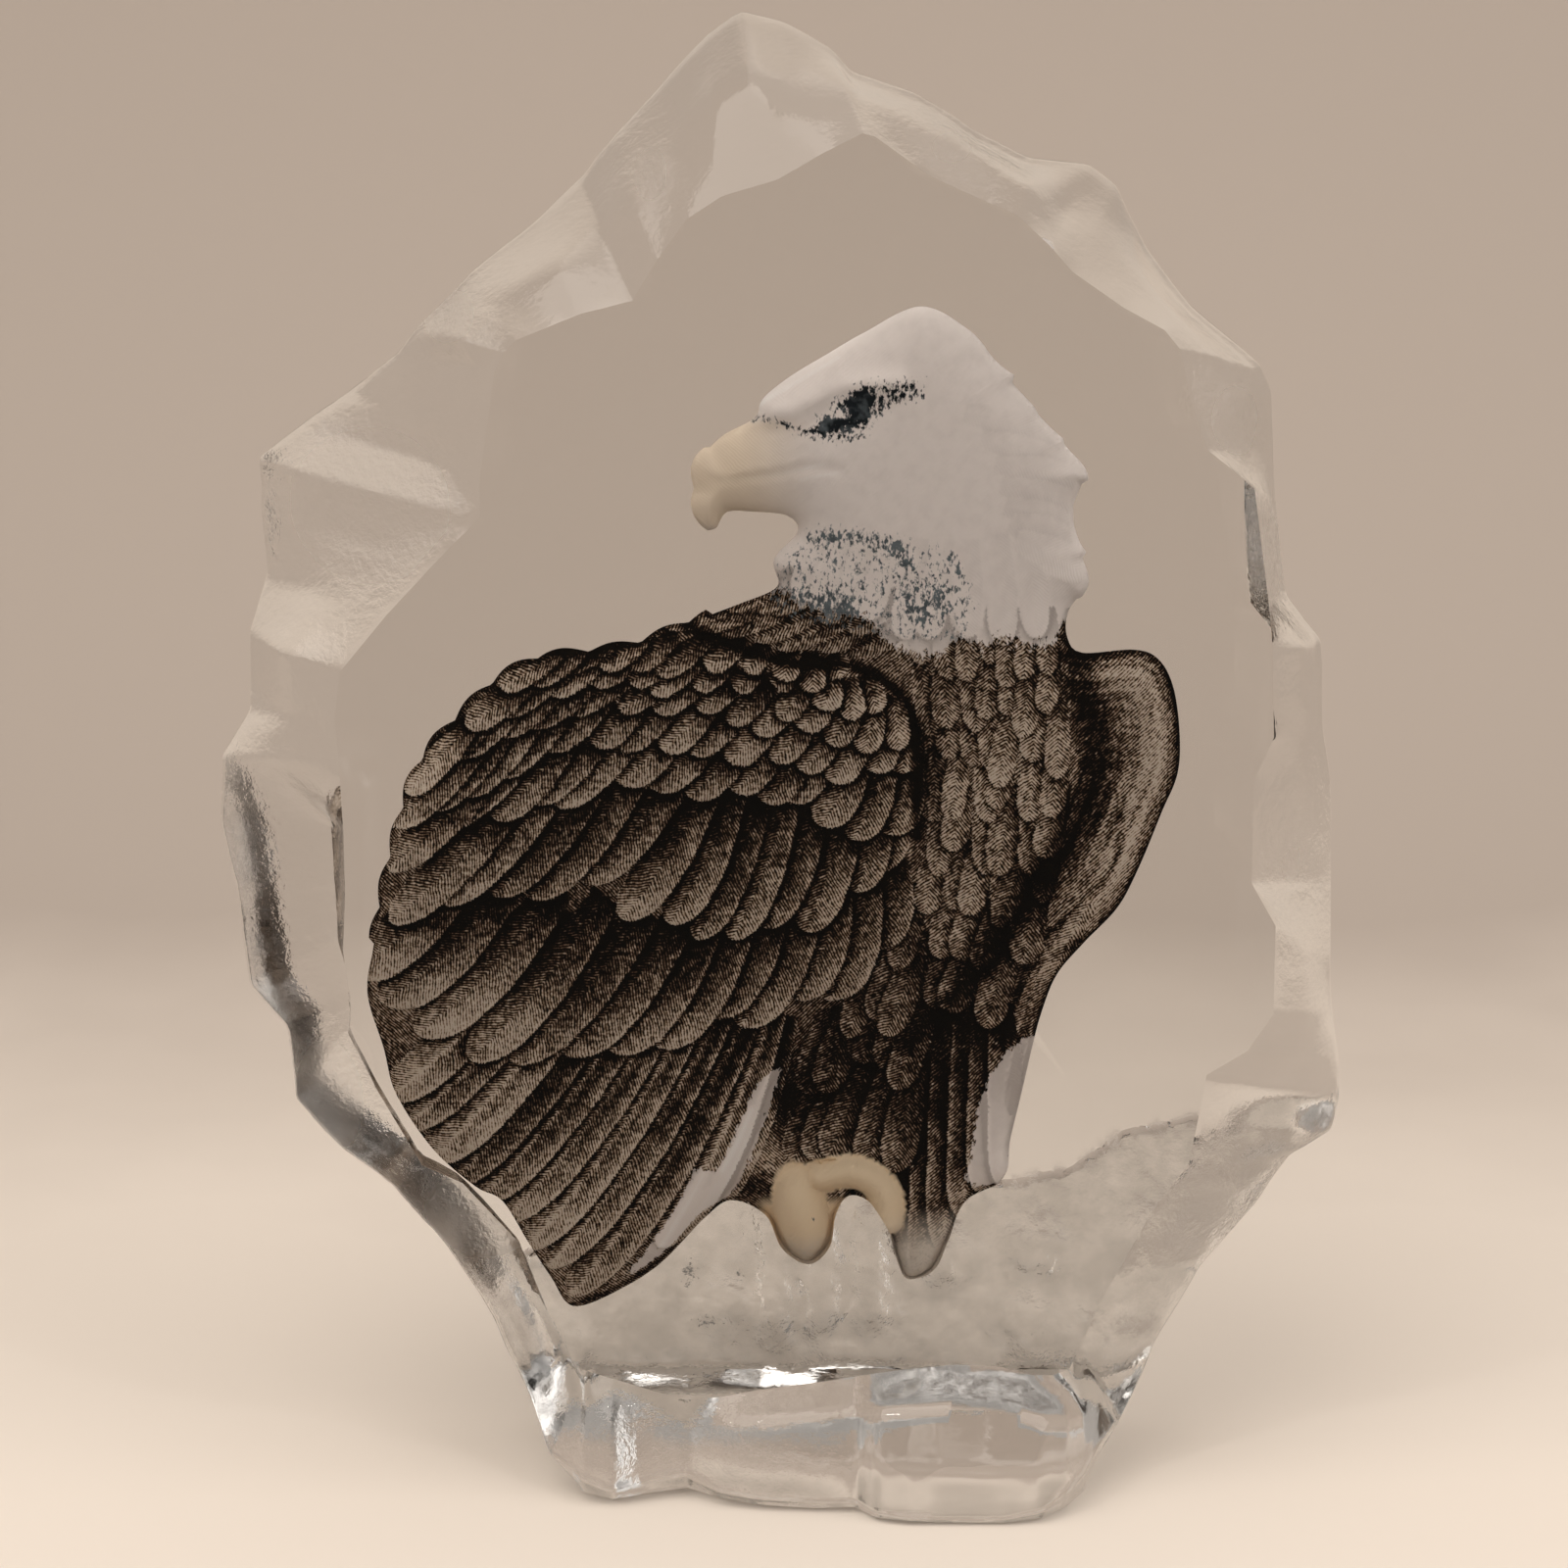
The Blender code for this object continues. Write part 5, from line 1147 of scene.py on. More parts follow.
@dataclass
class Paint:
    """How the stain, the frost, the soot and the cream lie over the eagle, with painted shade and
    highlights.
    """

    carving: Carving
    cell: float = 0.25
    reach: float = 4.5
    gap_width: float = 0.75
    shade_share: float = 0.34
    margin: float = 6.0
    soft_shade: float = 0.9
    bare_tone: float = 0.67
    painted_gap_shade: float = 0.62
    shade_dark: float = 0.50
    under_dark: float = 0.24
    head_from: float = 2.0
    head_edge_highlight: float = 0.25
    stain_edge: float = 0.5
    edge_width: float = 0.9
    roll_pale: float = 0.34
    roll_width: float = 2.8
    streak_share: float = 0.36
    streak_pitches: Point = (2.6, 1.15)
    streak_shares: Point = (0.6, 0.4)
    streak_lean: float = 0.05
    wave_turns: Point = (0.19, 0.11)
    wave_wander: float = 0.6
    wave_shares: Point = (0.35, 0.65)
    far_dark: float = 0.13
    far_edge: float = 0.45
    far_edge_full: float = 1.6
    far_edge_width: float = 1.1
    outline_left: float = -37.0
    outline_bottom: float = 48.0
    outline_fade: float = 6.0
    neck_softness: float = 5.0
    hem_width: float = 0.7
    eye_most: float = 0.95
    tail_full: float = 1.2
    tail_from: float = 14.0
    tail_fade: float = 26.0
    toe_cream_depth: float = 2.5 * MM
    gap: np.ndarray = field(init=False)
    shade: np.ndarray = field(init=False)
    low: np.ndarray = field(init=False)

    def __post_init__(self) -> None:
        """Find the places beside and below the feathers that lie on top, where painted shade darkens the
        stain.
        """
        self.low = self.carving.outline.min(axis=0) - self.margin
        high = self.carving.outline.max(axis=0) + self.margin
        x, z = np.meshgrid(*(np.arange(low, top, self.cell) for low, top in zip(self.low, high)))
        top = self.carving.plumage.over(x.ravel(), z.ravel())[1].reshape(x.shape)
        apart = np.full(top.shape, 2 * self.reach)
        cells = int(self.reach / self.cell)
        for across in range(-cells, cells + 1):
            for up in range(-cells, cells + 1):
                step = math.hypot(across, up) * self.cell
                if 0.0 < step < self.reach:
                    covered = np.roll(top, (-up, -across), axis=(0, 1)) > top
                    apart = np.where(covered & (step < apart), step, apart)
        apart = np.where(top < 0, 2 * self.reach, apart)
        sizes = np.array([(feather.width, feather.soft) for feather in self.carving.plumage.feathers])
        width, soft = np.moveaxis(sizes[top], -1, 0)
        # Painted shade: a narrow dark gap and a wider shade beside and below every feather that lies on
        # top.
        self.gap = bump(apart, self.gap_width) * (1.0 - soft)
        self.shade = np.exp(-apart / (self.shade_share * width)) * (1.0 - self.soft_shade * soft)

    def read(self, field_: np.ndarray, x: np.ndarray, z: np.ndarray) -> np.ndarray:
        """A field's value at points, read between its cells."""
        u = np.clip((x - self.low[0]) / self.cell, 0, field_.shape[1] - 1.001)
        v = np.clip((z - self.low[1]) / self.cell, 0, field_.shape[0] - 1.001)
        i, j = u.astype(int), v.astype(int)
        a, b = u - i, v - j
        return ((1 - a) * (1 - b) * field_[j, i] + a * (1 - b) * field_[j, i + 1]
                + (1 - a) * b * field_[j + 1, i] + a * b * field_[j + 1, i + 1])

    def tone(self, x: np.ndarray, z: np.ndarray, edge: np.ndarray) -> np.ndarray:
        """Paleness of the stain, about 0 where it is black and 1 where it is palest; painted shade and
        painted highlights are in it.
        """
        # Painted shade from the feathers on top.
        tone = self.bare_tone - self.painted_gap_shade * self.read(self.gap, x, z)
        tone -= self.shade_dark * self.read(self.shade, x, z)
        for mark in SHADES + STAIN_SHADE_AND_GLINT_STROKES:
            tone += mark.at(x, z)
        tone += np.where(signed_depth(FAR_WING, x, z) > 0.0, self.far_wing(x, z, edge), 0.0)
        shadow = np.interp(z, *SHADOW_SPREAD)
        tone -= self.under_dark * shadow * bump(reach_to(FAR_SHADOW, x, z), shadow)
        on_head = above_neck(x, z) > self.head_from
        for stroke in HEAD_HIGHLIGHT_STROKES:
            tone += np.where(on_head, stroke.at(x, z), 0.0)
        rising = eased((z - self.outline_bottom) / self.outline_fade)
        outlined = np.where(x > self.outline_left, rising, 1.0)
        # Paler along the head's outline, a painted highlight; darker stain along the outline elsewhere.
        dark = np.where(on_head, -self.head_edge_highlight, self.stain_edge * outlined)
        return tone - dark * np.clip(1.0 - edge / self.edge_width, 0.0, 1.0)

    def far_wing(self, x: np.ndarray, z: np.ndarray, edge: np.ndarray) -> np.ndarray:
        """What the pale roll, the streaks and the dark edge add to the far wing's tone."""
        turn, slow_turn = self.wave_turns
        wave = 0.5 + 0.5 * np.sin(turn * z + self.wave_wander * np.sin(slow_turn * z))
        wide, narrow = (2 * math.pi * edge / pitch for pitch in self.streak_pitches)
        wide_share, narrow_share = self.streak_shares
        streak = wide_share * np.sin(wide) + narrow_share * np.sin(narrow + self.streak_lean * z)
        even, waved = self.wave_shares
        roll = self.roll_pale * bump(reach_to(LEADING_ROLL, x, z), self.roll_width)
        rim = self.far_edge * np.clip(self.far_edge_full - edge / self.far_edge_width, 0.0, 1.0)
        return roll + self.streak_share * streak * (even + waved * wave) - self.far_dark - rim

    @staticmethod
    def thin(x: np.ndarray, z: np.ndarray) -> np.ndarray:
        """How far the paint is wiped off where the toes and the tail run into the rough ice."""
        return np.max([zone.at(x, z) for zone in THIN_ZONES], axis=0)

    def frost(self, x: np.ndarray, z: np.ndarray) -> np.ndarray:
        """Cover of the white frost, 0.5 at its ragged edge."""
        head = np.clip(0.5 + above_neck(x, z) / self.neck_softness, 0.0, 1.0)
        cover = np.max([head, *(blot.at(x, z) for blot in PALE_BLOTS)], axis=0)
        return cover * (1.0 - bump(reach_to(LOWER_EDGE, x, z), self.hem_width))

    def soot(self, x: np.ndarray, z: np.ndarray) -> np.ndarray:
        """Cover of the blue-black specks round the eye and under the chin."""
        eye = np.minimum(EYE_BLOT.at(x, z), self.eye_most) - EYE_GLINT.at(x, z)
        taper = np.clip(self.tail_full - (x - self.tail_from) / self.tail_fade, 0.0, 1.0)
        speckled = SPECKLED_BLOT.at(x, z) * taper
        return np.max([eye, speckled, *(mark.at(x, z) for mark in SOOT_MARKS)], axis=0)

    def cream(self, x: np.ndarray, z: np.ndarray) -> np.ndarray:
        """Cover of the cream on the beak and the toes."""
        toes = np.clip(self.carving.toe_height(x, z) / self.toe_cream_depth, 0.0, 1.0)
        return np.max([toes, *(zone.at(x, z) for zone in CREAM_ZONES)], axis=0)


class Coat(Enum):
    """The painted coats, each a piece of its own."""

    HEAD = "eagle_head_frost"
    BEAK = "eagle_beak_cream"
    TOES = "eagle_toes_cream"
    NEAR_WING = "eagle_near_wing_stain"
    FAR_WING = "eagle_far_wing_stain"
    BODY = "eagle_body_stain"
    TAIL = "eagle_tail_stain"


COAT_SLOTS = {coat: Slot.STAIN for coat in Coat} | {
    Coat.HEAD: Slot.FROST, Coat.BEAK: Slot.CREAM, Coat.TOES: Slot.CREAM,
}


@dataclass
class PaintedEagle:
    """The coats of paint on the carved eagle, just under the crystal's skin."""

    drawing: Drawing
    carving: Carving
    paint: Paint
    sheet: Sheet
    depth: float = 0.10 * MM
    thickness: float = 0.06 * MM
    bare_gap_shade: float = 0.3
    light_spread: float = 0.09
    inwards: float = 0.25
    apart: float = 7.3
    long_from: float = 40.0
    long_rise: Point = (0.40, 0.75)
    short_rise: Point = (0.78, 0.8)
    open_pale: Point = (0.14, 0.12)
    shaft_pale: float = 0.40
    shaft_width: float = 0.42
    shade_dark: float = 0.46
    shade_aside: float = 1.4
    shade_width: float = 1.2
    shade_until: float = 1.1
    rim_highlight: Point = (0.10, 0.02)
    rim_width: float = 0.45
    sharp_from: float = 60.0
    toe_from: float = 2.0 * MM

    def regions(self) -> dict[Coat, np.ndarray]:
        """Which faces of the sheet each coat covers."""
        x, z = self.sheet.flat[self.sheet.faces].mean(axis=1).T
        left = self.sheet.on_eagle.copy()
        masks = {
            Coat.TOES: self.carving.toe_height(x, z) > self.toe_from,
            Coat.BEAK: (x < 1.0) & (z > 154.0) & (z < 174.8),
            Coat.HEAD: above_neck(x, z) > 0.0,
            Coat.NEAR_WING: signed_depth(NEAR_WING, x, z) > 0.0,
            Coat.FAR_WING: (signed_depth(FAR_WING, x, z) > 0.0) & (x > 40.0),
            Coat.TAIL: signed_depth(TAIL, x, z) > 0.0,
            Coat.BODY: np.ones(len(x), bool),
        }
        parts = {}
        for coat, mask in masks.items():
            parts[coat] = left & mask
            left &= ~mask
        return parts

    def plumed(self, faces: np.ndarray) -> np.ndarray:
        """Which faces lie where feathers are drawn, away from the head and the far wing."""
        x, z = self.sheet.flat[faces].mean(axis=1).T
        return (above_neck(x, z) < 0.0) & (signed_depth(FAR_WING, x, z) < 0.0)

    def shading(self, feather: Feather, s: np.ndarray, side: np.ndarray, share: np.ndarray) -> np.ndarray:
        """How much paler or darker a feather is along and across it, with painted shade towards its root
        and on its covered side, and a painted highlight along its open edge and tip.

        Args:
            feather: The feather.
            s: Shares along it.
            side: Distances from its middle line.
            share: Shares of its half width.

        Returns:
            What is added to the tone.
        """
        along_it = np.clip(s, 0.0, 1.0)
        open_side = np.clip(share * feather.lean, -1.0, 1.0)
        beside, ahead = (1.0 - open_side) * feather.half_width(along_it), (1.0 - along_it) * feather.length
        rim = np.minimum(beside, ahead)
        is_long = feather.length > self.long_from
        rise, middle = self.long_rise if is_long else self.short_rise
        # Painted shade: darker towards the root, under the row above, and on the side under the neighbour.
        tone = rise * (along_it - middle) + self.open_pale[0 if is_long else 1] * open_side
        if is_long:
            tone += self.shaft_pale * bump(side, self.shaft_width)
            beside_shaft = bump(side * feather.lean - self.shade_aside, self.shade_width)
            tone -= self.shade_dark * beside_shaft * (self.shade_until - along_it)
        # Painted highlight along the open edge and the tip.
        even, by_width = self.rim_highlight
        tone += (even + by_width * feather.width) * bump(rim, self.rim_width)
        return feather.light + tone * (1.0 - feather.soft)

    def build(self, coat: Coat, mask: np.ndarray) -> bpy.types.Object:
        """Model one coat as a thin closed skin that carries its paint as attributes.

        Args:
            coat: Which coat it is.
            mask: The faces of the sheet that it covers.

        Returns:
            The coat's object.
        """
        faces, owners = self.sheet.faces[mask], self.sheet.owner[mask]
        used = np.unique(faces)
        x, z = self.sheet.flat[used].T
        fields = {
            "frost": self.paint.frost(x, z),
            "soot": self.paint.soot(x, z),
            "cream": self.paint.cream(x, z),
            "thin": self.paint.thin(x, z),
        }
        bm = bmesh.new()
        layers = {name: bm.verts.layers.float.new(name) for name in fields}
        verts = {}
        back_y = self.drawing.back_y
        for at, index in enumerate(used):
            px, pz = self.sheet.flat[index]
            vert = bm.verts.new((px * MM, back_y - self.sheet.heights[index] - self.depth, pz * MM))
            for name, layer in layers.items():
                vert[layer] = fields[name][at]
            verts[index] = vert
        tone_layer = bm.loops.layers.float.new("tone")
        uv_layer = bm.loops.layers.uv.new("feather")
        tones, places = self.face_paint(faces, owners)
        for at, face in enumerate(faces):
            made = bm.faces.new([verts[index] for index in face])
            for corner, loop in enumerate(made.loops):
                loop[tone_layer] = tones[at, corner]
                loop[uv_layer].uv = places[at, corner]
        front = bmesh.ops.extrude_face_region(bm, geom=list(bm.faces), use_keep_orig=True)
        moved = [item for item in front["geom"] if isinstance(item, bmesh.types.BMVert)]
        bmesh.ops.translate(bm, verts=moved, vec=(0.0, -self.thickness, 0.0))
        bmesh.ops.recalc_face_normals(bm, faces=bm.faces)
        bmesh.ops.translate(bm, verts=bm.verts, vec=self.drawing.shift())
        return finished(bm, coat.value, math.radians(self.sharp_from))

    def face_paint(self, faces: np.ndarray, owners: np.ndarray) -> tuple[np.ndarray, np.ndarray]:
        """Paint of the corners of faces.

        Args:
            faces: The faces, with their corners as numbers of the sheet's places.
            owners: The feather that each face lies on, -1 for none.

        Returns:
            The corners' tones, and their places beside and along their feather.
        """
        used = np.unique(faces)
        edge, _ = distance_to(self.carving.outline, *self.sheet.flat[used].T)
        rim = edge[np.searchsorted(used, faces)]
        places = self.sheet.flat[faces]
        middles = places.mean(axis=1, keepdims=True)
        seen = (1.0 - self.inwards) * places + self.inwards * middles
        tones = self.paint.tone(*seen.reshape(-1, 2).T, rim.ravel()).reshape(faces.shape)
        # Painted shade in the bare gaps between the feathers.
        tones[(owners < 0) & self.plumed(faces)] -= self.bare_gap_shade
        feathers = self.carving.plumage.feathers
        lights = Seed.LIGHTS.rng().normal(0.0, self.light_spread, len(feathers))
        for number in np.unique(owners[owners >= 0]):
            mine, feather = owners == number, feathers[number]
            s, side, share = feather.place(*np.moveaxis(places[mine], 2, 0))
            tones[mine] += self.shading(feather, s, side, share)
            tones[mine] += lights[number] * (1.0 - feather.soft)
            places[mine] = np.stack([side, s * feather.length + self.apart * number], axis=2)
        return tones, places


# Shader maths

Colour = tuple[float, float, float, float]
Stops = tuple[tuple[float, tuple[float, float, float]], ...]
Settings = dict[str, object]


class Nodes:
    """The nodes of one material or world."""

    def __init__(self, tree: bpy.types.NodeTree) -> None:
        """Start from an empty tree."""
        tree.nodes.clear()
        self.tree = tree

    def add(self, kind: str, settings: Settings | None = None, **inputs: object) -> bpy.types.Node:
        """Make a node.

        Args:
            kind: The node's type.
            settings: What is set on the node itself, such as an operation, or a ramp's stops under "stops".
            **inputs: Values or wires of its sockets, by name, or by number after an underscore.

        Returns:
            The node.
        """
        node = self.tree.nodes.new(kind)
        for name, value in (settings or {}).items():
            if name == "stops":
                self.set_stops(node.color_ramp, value)
            else:
                setattr(node, name, value)
        for name, value in inputs.items():
            key = int(name[1:]) if name.startswith("_") else name.replace("_", " ")
            if isinstance(value, Wire):
                self.tree.links.new(value.socket, node.inputs[key])
            else:
                node.inputs[key].default_value = value
        return node

    @staticmethod
    def set_stops(ramp: bpy.types.ColorRamp, stops: Stops) -> None:
        """Give a colour ramp its stops."""
        while len(ramp.elements) < len(stops):
            ramp.elements.new(1.0)
        for element, (position, colour) in zip(ramp.elements, stops):
            element.position = position
            element.color = (*colour, 1.0)

    def wire(self, kind: str, out: str, settings: Settings | None = None, **inputs: object) -> "Wire":
        """Make a node and return one of its outputs."""
        return Wire(self, self.add(kind, settings, **inputs).outputs[out])

    def attribute(self, name: str) -> "Wire":
        """A number that the mesh carries."""
        return self.wire("ShaderNodeAttribute", "Fac", {"attribute_name": name})

    def noise(self, place: "Wire", scale: float, detail: float, roughness: float = 0.5) -> "Wire":
        """Soft noise between 0 and 1."""
        return self.wire("ShaderNodeTexNoise", "Fac", Vector=place, Scale=scale, Detail=detail,
                         Roughness=roughness)

    def ramp(self, value: "Wire", stops: Stops) -> "Wire":
        """A colour read from stops."""
        return self.wire("ShaderNodeValToRGB", "Color", {"stops": stops}, Fac=value)

    def mix(self, share: "Wire", first: object, second: object) -> "Wire":
        """A blend of two colours."""
        node = self.add("ShaderNodeMix", {"data_type": "RGBA"}, _0=share, _6=first, _7=second)
        return Wire(self, node.outputs[2])

    def part(self, vector: "Wire", axis: int) -> "Wire":
        """One coordinate of a vector, by its number."""
        return Wire(self, self.add("ShaderNodeSeparateXYZ", Vector=vector).outputs[axis])


class Wire:
    """A socket that takes part in Python expressions."""

    def __init__(self, nodes: Nodes, socket: bpy.types.NodeSocket) -> None:
        """Wrap a socket."""
        self.nodes = nodes
        self.socket = socket

    def math(self, operation: str, *others: "Wire | float", clamp: bool = False) -> "Wire":
        """A Math node on this wire and up to two more values."""
        values = {f"_{at}": value for at, value in enumerate((self, *others))}
        settings = {"operation": operation, "use_clamp": clamp}
        return self.nodes.wire("ShaderNodeMath", "Value", settings, **values)

    def __add__(self, other: "Wire | float") -> "Wire":
        """Sum."""
        return self.math("ADD", other)

    def __sub__(self, other: "Wire | float") -> "Wire":
        """Difference."""
        return self.math("SUBTRACT", other)

    def __rsub__(self, other: float) -> "Wire":
        """Difference from a number."""
        return (self * -1.0) + other

    def __mul__(self, other: "Wire | float") -> "Wire":
        """Product."""
        return self.math("MULTIPLY", other)

    def __truediv__(self, other: "Wire | float") -> "Wire":
        """Quotient."""
        return self.math("DIVIDE", other)

    def clamped(self) -> "Wire":
        """This value kept between 0 and 1."""
        return self.math("ADD", 0.0, clamp=True)

    def past(self, edge: "Wire | float", softness: float) -> "Wire":
        """0 below an edge and 1 above it, with a soft step."""
        return ((self - edge) / softness + 0.5).clamped()


@dataclass(frozen=True)
class Finish:
    """Recipe of a material."""

    name: str

    def look(self, nodes: Nodes) -> dict[str, object]:
        """What goes into the shader's sockets."""
        raise NotImplementedError

    def material(self) -> bpy.types.Material:
        """The finish's material."""
        material = bpy.data.materials.new(self.name)
        material.use_nodes = True
        nodes = Nodes(material.node_tree)
        shader = nodes.add("ShaderNodeBsdfPrincipled", **self.look(nodes))
        output = nodes.add("ShaderNodeOutputMaterial")
        nodes.tree.links.new(shader.outputs[0], output.inputs[0])
        return material


@dataclass(frozen=True)
class CrystalFinish(Finish):
    """Clear cast crystal."""

    name: str = "clear_crystal"
    colour: Colour = (0.93, 0.925, 0.915, 1.0)
    perch_shade_colour: Colour = (0.46, 0.455, 0.445, 1.0)
    fleck_colour: Colour = (0.06, 0.065, 0.07, 1.0)
    frost_from: float = 0.3
    frost_share: float = 0.7
    ior: float = 1.52
    grit: float = 0.5 * MM
    grit_scale: float = 700.0
    veil_scale: float = 160.0
    fleck_scale: float = 1500.0
    fleck_edge: float = 0.95

    def look(self, nodes: Nodes) -> dict[str, object]:
        """Clear, with grit where it is chipped, and flecked and darkened by painted shade where the perch
        is rough.
        """
        place = nodes.wire("ShaderNodeTexCoord", "Object")
        rough = nodes.attribute("rough")
        grit = (nodes.noise(place, self.grit_scale, 3.0, 0.6) - 0.5) * rough
        perch_shade_share = nodes.attribute("smoke") * (nodes.noise(place, self.veil_scale, 3.0, 0.6) * 1.3 + 0.2)
        colour = nodes.mix(perch_shade_share.clamped(), self.colour, self.perch_shade_colour)
        speck = (nodes.noise(place, self.fleck_scale, 2.0, 0.6) - 0.5) * 1.6
        fleck = (nodes.attribute("grains") + speck).past(self.fleck_edge, 0.2)
        return {
            "Base_Color": nodes.mix(fleck, colour, self.fleck_colour),
            "Roughness": (rough - self.frost_from).math("MAXIMUM", 0.0) * self.frost_share,
            "IOR": self.ior,
            "Transmission_Weight": 1.0,
            "Normal": nodes.wire("ShaderNodeBump", "Normal", Strength=1.0, Distance=self.grit, Height=grit),
        }


@dataclass(frozen=True)
class PaintFinish(Finish):
    """Speckled paint: stain, frost, soot and cream, laid by the mesh's attributes."""

    roughness: float = 0.6
    grain_scale: float = 1500.0
    speck_scale: float = 1600.0
    patch_scale: float = 90.0
    blotch_scale: float = 0.24
    strand_scale: float = 420.0
    strand_squash: tuple[float, float, float] = (1.0, 1.0, 0.6)
    grain_share: float = 2.1
    relief: float = 0.1 * MM
    barb_pitch: float = 0.62
    stain_stops: Stops = (
        (0.10, (0.003, 0.002, 0.001)), (0.28, (0.028, 0.014, 0.008)), (0.42, (0.090, 0.050, 0.030)),
        (0.58, (0.220, 0.144, 0.094)), (0.78, (0.420, 0.320, 0.235)), (1.0, (0.64, 0.54, 0.45)),
    )
    frost_colour: Colour = (0.88, 0.80, 0.76, 1.0)
    frost_shade: Colour = (0.50, 0.44, 0.41, 1.0)
    frost_highlight: Colour = (0.95, 0.90, 0.87, 1.0)
    soot_colour: Colour = (0.010, 0.014, 0.018, 1.0)
    soot_pale: Colour = (0.14, 0.165, 0.18, 1.0)
    cream_colour: Colour = (0.85, 0.68, 0.48, 1.0)
    ice_colour: Colour = (0.66, 0.59, 0.52, 1.0)
    chin_top: float = 160.0 * MM
    chin_softness: float = 6.0 * MM

    def look(self, nodes: Nodes) -> dict[str, object]:
        """Stain by tone, then frost, cream and soot over it, and bare ice where it is wiped off; the tone
        brings painted shade and highlights.
        """
        place = nodes.wire("ShaderNodeTexCoord", "Object")
        tone = nodes.attribute("tone")
        grain = nodes.noise(place, self.grain_scale, 1.5, 0.7)
        patch = nodes.noise(place, self.patch_scale, 3.0)
        feather = nodes.wire("ShaderNodeUVMap", "UV", {"uv_map": "feather"})
        barb = self.barbs(nodes, place, feather)
        blotch = nodes.noise(feather, self.blotch_scale, 2.0)
        value = tone + (grain - 0.5) * self.grain_share + (patch - 0.5) * 0.4
        value = value + (barb - 0.5) * 0.7 + (blotch - 0.5) * 0.7
        colour = nodes.ramp(value.clamped(), self.stain_stops)
        squashed = nodes.wire("ShaderNodeVectorMath", "Vector", {"operation": "MULTIPLY"},
                              _0=place, _1=self.strand_squash)
        speck = nodes.noise(squashed, self.speck_scale, 2.0, 0.65)
        strand = nodes.noise(place, self.strand_scale, 3.0)
        # Frost in a painted-shade copy where the tone is low and a painted-highlight copy where it is high.
        pale = (tone * 1.6 + (strand - 0.5) * 0.5 - 0.1).clamped()
        frost = nodes.mix(pale, self.frost_shade, self.frost_colour)
        frost = nodes.mix((tone * 2.2 - 1.75).clamped(), frost, self.frost_highlight)
        ragged = nodes.attribute("frost") + (speck - 0.5) * 1.3 + (strand - 0.5) * 0.5
        colour = nodes.mix(ragged.past(0.5, 0.12), colour, frost)
        colour = nodes.mix(nodes.attribute("cream"), colour, self.cream_colour)
        under_chin = (self.chin_top - nodes.part(place, 2)).past(0.0, self.chin_softness) * 0.6
        dark = nodes.mix((strand.past(0.62, 0.25) + under_chin).clamped(), self.soot_colour, self.soot_pale)
        specked = nodes.attribute("soot") + (speck - 0.5) * 1.4 + (strand - 0.5) * 0.3
        colour = nodes.mix(specked.past(0.62, 0.18), colour, dark)
        thin = nodes.attribute("thin") * (strand * 0.8 + grain * 0.8 + 0.3)
        return {
            "Base_Color": nodes.mix(thin.clamped(), colour, self.ice_colour),
            "Roughness": self.roughness,
            "Specular_IOR_Level": 0.0,
            "Normal": nodes.wire("ShaderNodeBump", "Normal", Strength=0.25, Distance=self.relief,
                                 Height=grain + barb * 0.8),
        }

    def barbs(self, nodes: Nodes, place: Wire, feather: Wire) -> Wire:
        """Fine lines that run from a feather's shaft to its edges."""
        side, ahead = nodes.part(feather, 0), nodes.part(feather, 1)
        wander = nodes.noise(place, 300.0, 2.0)
        run = (ahead - side.math("ABSOLUTE") * 0.9 + wander * 1.4) * (2 * math.pi / self.barb_pitch)
        return run.math("SINE") * 0.5 + 0.5


@dataclass(frozen=True)
class StudioFinish(Finish):
    """Plain pale surface of the studio, with painted shade where it rises."""

    name: str = "pale_studio"
    colour: Colour = (0.88, 0.79, 0.70, 1.0)
    upper_shade: Colour = (0.50, 0.43, 0.375, 1.0)

    def look(self, nodes: Nodes) -> dict[str, object]:
        """Pale in front and darker where it rises behind the block, a painted shade."""
        place = nodes.wire("ShaderNodeTexCoord", "Object")
        soft = nodes.noise(place, 9.0, 3.0)
        depth, height = nodes.part(place, 1), nodes.part(place, 2)
        share = ((depth - 0.12) * 3.0 + height * 14.0 + (soft - 0.5) * 0.5).clamped()
        return {"Base_Color": nodes.mix(share, self.colour, self.upper_shade), "Roughness": 0.9}


# Studio

@dataclass(frozen=True)
class Lamp:
    """A large soft area light, aimed at the block."""

    name: str
    place: tuple[float, float, float]
    size: float
    power: float
    colour: tuple[float, float, float]


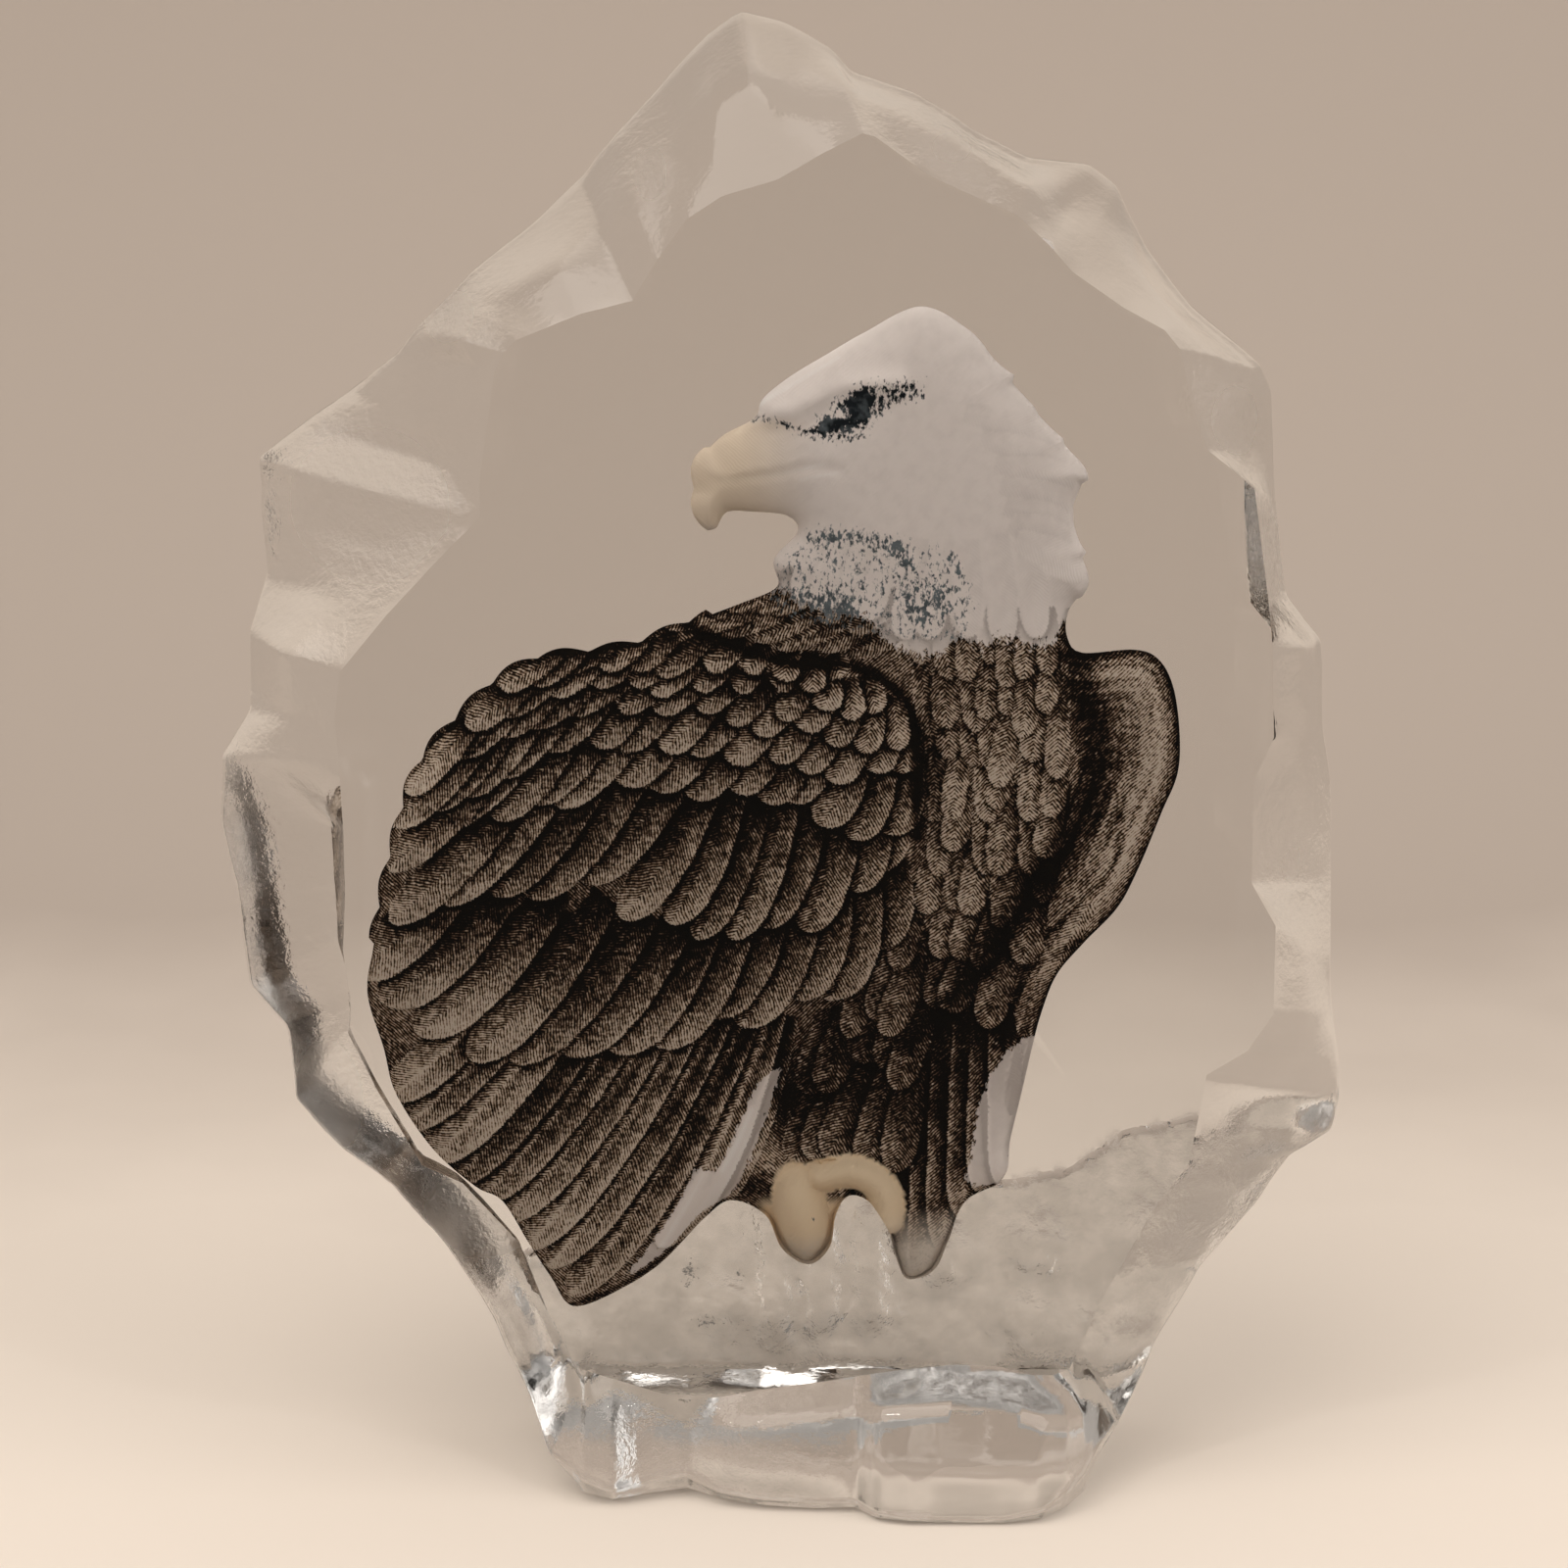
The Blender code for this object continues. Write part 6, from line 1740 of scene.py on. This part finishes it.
@dataclass(frozen=True)
class Studio:
    """Floor and backdrop in one sweep, soft lights and the camera."""

    distance: float = 0.56
    elevation: float = 10.0
    target: tuple[float, float, float] = (-0.0005, -0.016, 0.11855)
    lens: float = 81.1
    sensor: float = 36.0
    sweep_start: float = 0.26
    sweep_radius: float = 0.45
    sweep_half: float = 1.2
    sweep_front: float = -0.075
    sweep_top: float = 0.1
    sweep_rows: int = 40
    floor: float = -0.4 * MM
    world_colour: Colour = (1.0, 0.92, 0.84, 1.0)
    world_dim: Colour = (0.22, 0.20, 0.18, 1.0)
    world_strength: float = 0.40
    small_lamp: float = 0.1
    mirrored: tuple[float, float, float] = (0.0, -0.985, -0.174)
    dim_from: float = 0.78
    dim_softness: float = 0.40
    lamps: tuple[Lamp, ...] = (
        Lamp("key", (-0.55, -0.75, 1.15), 1.5, 10.6, (1.0, 0.94, 0.87)),
        Lamp("fill", (0.95, -0.55, 0.75), 1.3, 6.4, (1.0, 0.95, 0.90)),
        Lamp("top", (0.0, -0.1, 1.45), 1.4, 3.0, (1.0, 0.95, 0.90)),
        Lamp("glint_left", (-0.45, -0.55, 0.65), 0.05, 0.5, (1.0, 0.98, 0.96)),
        Lamp("glint_right", (0.50, -0.60, 0.80), 0.05, 0.5, (1.0, 0.98, 0.96)),
    )

    def build(self) -> None:
        """Make the whole studio."""
        self.sweep()
        self.world()
        for lamp in self.lamps:
            self.light(lamp)
        self.camera()
        bpy.context.scene.view_settings.view_transform = "Standard"

    def sweep(self) -> None:
        """Floor that curves up into the backdrop."""
        bm = bmesh.new()
        rows = self.sweep_rows
        bmesh.ops.create_grid(bm, x_segments=1, y_segments=rows, size=0.5)
        bend = math.pi / 2 * self.sweep_radius
        flat = self.sweep_start - self.sweep_front
        total = flat + bend + self.sweep_top
        marks = np.concatenate([[0.0], np.linspace(flat, flat + bend, rows - 1), [total]])
        for vert in bm.verts:
            run = marks[round((vert.co.y + 0.5) * rows)]
            turn = np.clip((run - flat) / self.sweep_radius, 0.0, math.pi / 2)
            over = max(run - flat - bend, 0.0)
            vert.co = (vert.co.x * 2 * self.sweep_half,
                       self.sweep_front + min(run, flat) + self.sweep_radius * math.sin(turn),
                       self.floor + self.sweep_radius * (1 - math.cos(turn)) + over)
        bmesh.ops.recalc_face_normals(bm, faces=bm.faces)
        sweep = finished(bm, "studio_sweep", math.radians(60))
        sweep.data.materials.append(StudioFinish().material())

    def world(self) -> None:
        """Even warm light from all round, but dim behind the camera, which the window mirrors."""
        world = bpy.data.worlds.new("studio_world")
        bpy.context.scene.world = world
        world.use_nodes = True
        nodes = Nodes(world.node_tree)
        towards = nodes.wire("ShaderNodeVectorMath", "Value", {"operation": "DOT_PRODUCT"},
                             _0=nodes.wire("ShaderNodeTexCoord", "Generated"), _1=self.mirrored)
        behind = towards.past(self.dim_from, self.dim_softness)
        colour = nodes.mix(behind, self.world_colour, self.world_dim)
        background = nodes.add("ShaderNodeBackground", Color=colour, Strength=self.world_strength)
        output = nodes.add("ShaderNodeOutputWorld")
        world.node_tree.links.new(background.outputs[0], output.inputs[0])

    def light(self, lamp: Lamp) -> None:
        """Place one area light."""
        data = bpy.data.lights.new(lamp.name, "AREA")
        data.shape = "DISK"
        data.size = lamp.size
        data.energy = lamp.power
        data.color = lamp.colour
        light = bpy.data.objects.new(lamp.name, data)
        light.location = lamp.place
        light.visible_transmission = lamp.size > self.small_lamp
        way = Vector(self.target) - Vector(lamp.place)
        light.rotation_euler = way.to_track_quat("-Z", "Y").to_euler()
        bpy.context.scene.collection.objects.link(light)

    def camera(self) -> None:
        """Camera at the photograph's viewing angle."""
        data = bpy.data.cameras.new("camera")
        data.lens = self.lens
        data.sensor_width = self.sensor
        camera = bpy.data.objects.new("camera", data)
        turn = math.radians(self.elevation)
        ahead = Vector((0.0, math.cos(turn), -math.sin(turn)))
        camera.location = Vector(self.target) - ahead * self.distance
        camera.rotation_euler = ahead.to_track_quat("-Z", "Y").to_euler()
        bpy.context.scene.collection.objects.link(camera)
        bpy.context.scene.camera = camera


def corners(box: Iterable[Vector]) -> list[list[float]]:
    """A box's two corners as plain numbers."""
    return [[float(value) for value in corner] for corner in box]


def main() -> None:
    """Build the block, its paint and the studio, and log each piece's face count."""
    logging.basicConfig(level=logging.INFO, format="%(message)s")
    log = logging.getLogger("eagle")
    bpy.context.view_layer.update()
    drawing = Drawing()
    carving = Carving(Plumage())
    block = CrystalBlock(drawing, carving)
    crystal = block.build()
    crystal.data.materials.append(CrystalFinish().material())
    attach(crystal, BODY)
    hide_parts(BLOCK_NODE)
    log.info("%s: %d faces", crystal.name, len(crystal.data.polygons))
    eagle = PaintedEagle(drawing, carving, Paint(carving), block.sheet)
    finishes = {slot: PaintFinish(slot.value).material() for slot in (Slot.STAIN, Slot.FROST, Slot.CREAM)}
    for coat, mask in eagle.regions().items():
        piece = eagle.build(coat, mask)
        piece.data.materials.append(finishes[COAT_SLOTS[coat]])
        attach(piece, BODY)
        log.info("%s: %d faces", piece.name, len(piece.data.polygons))
    Studio().build()


if __name__ == "__main__":
    main()
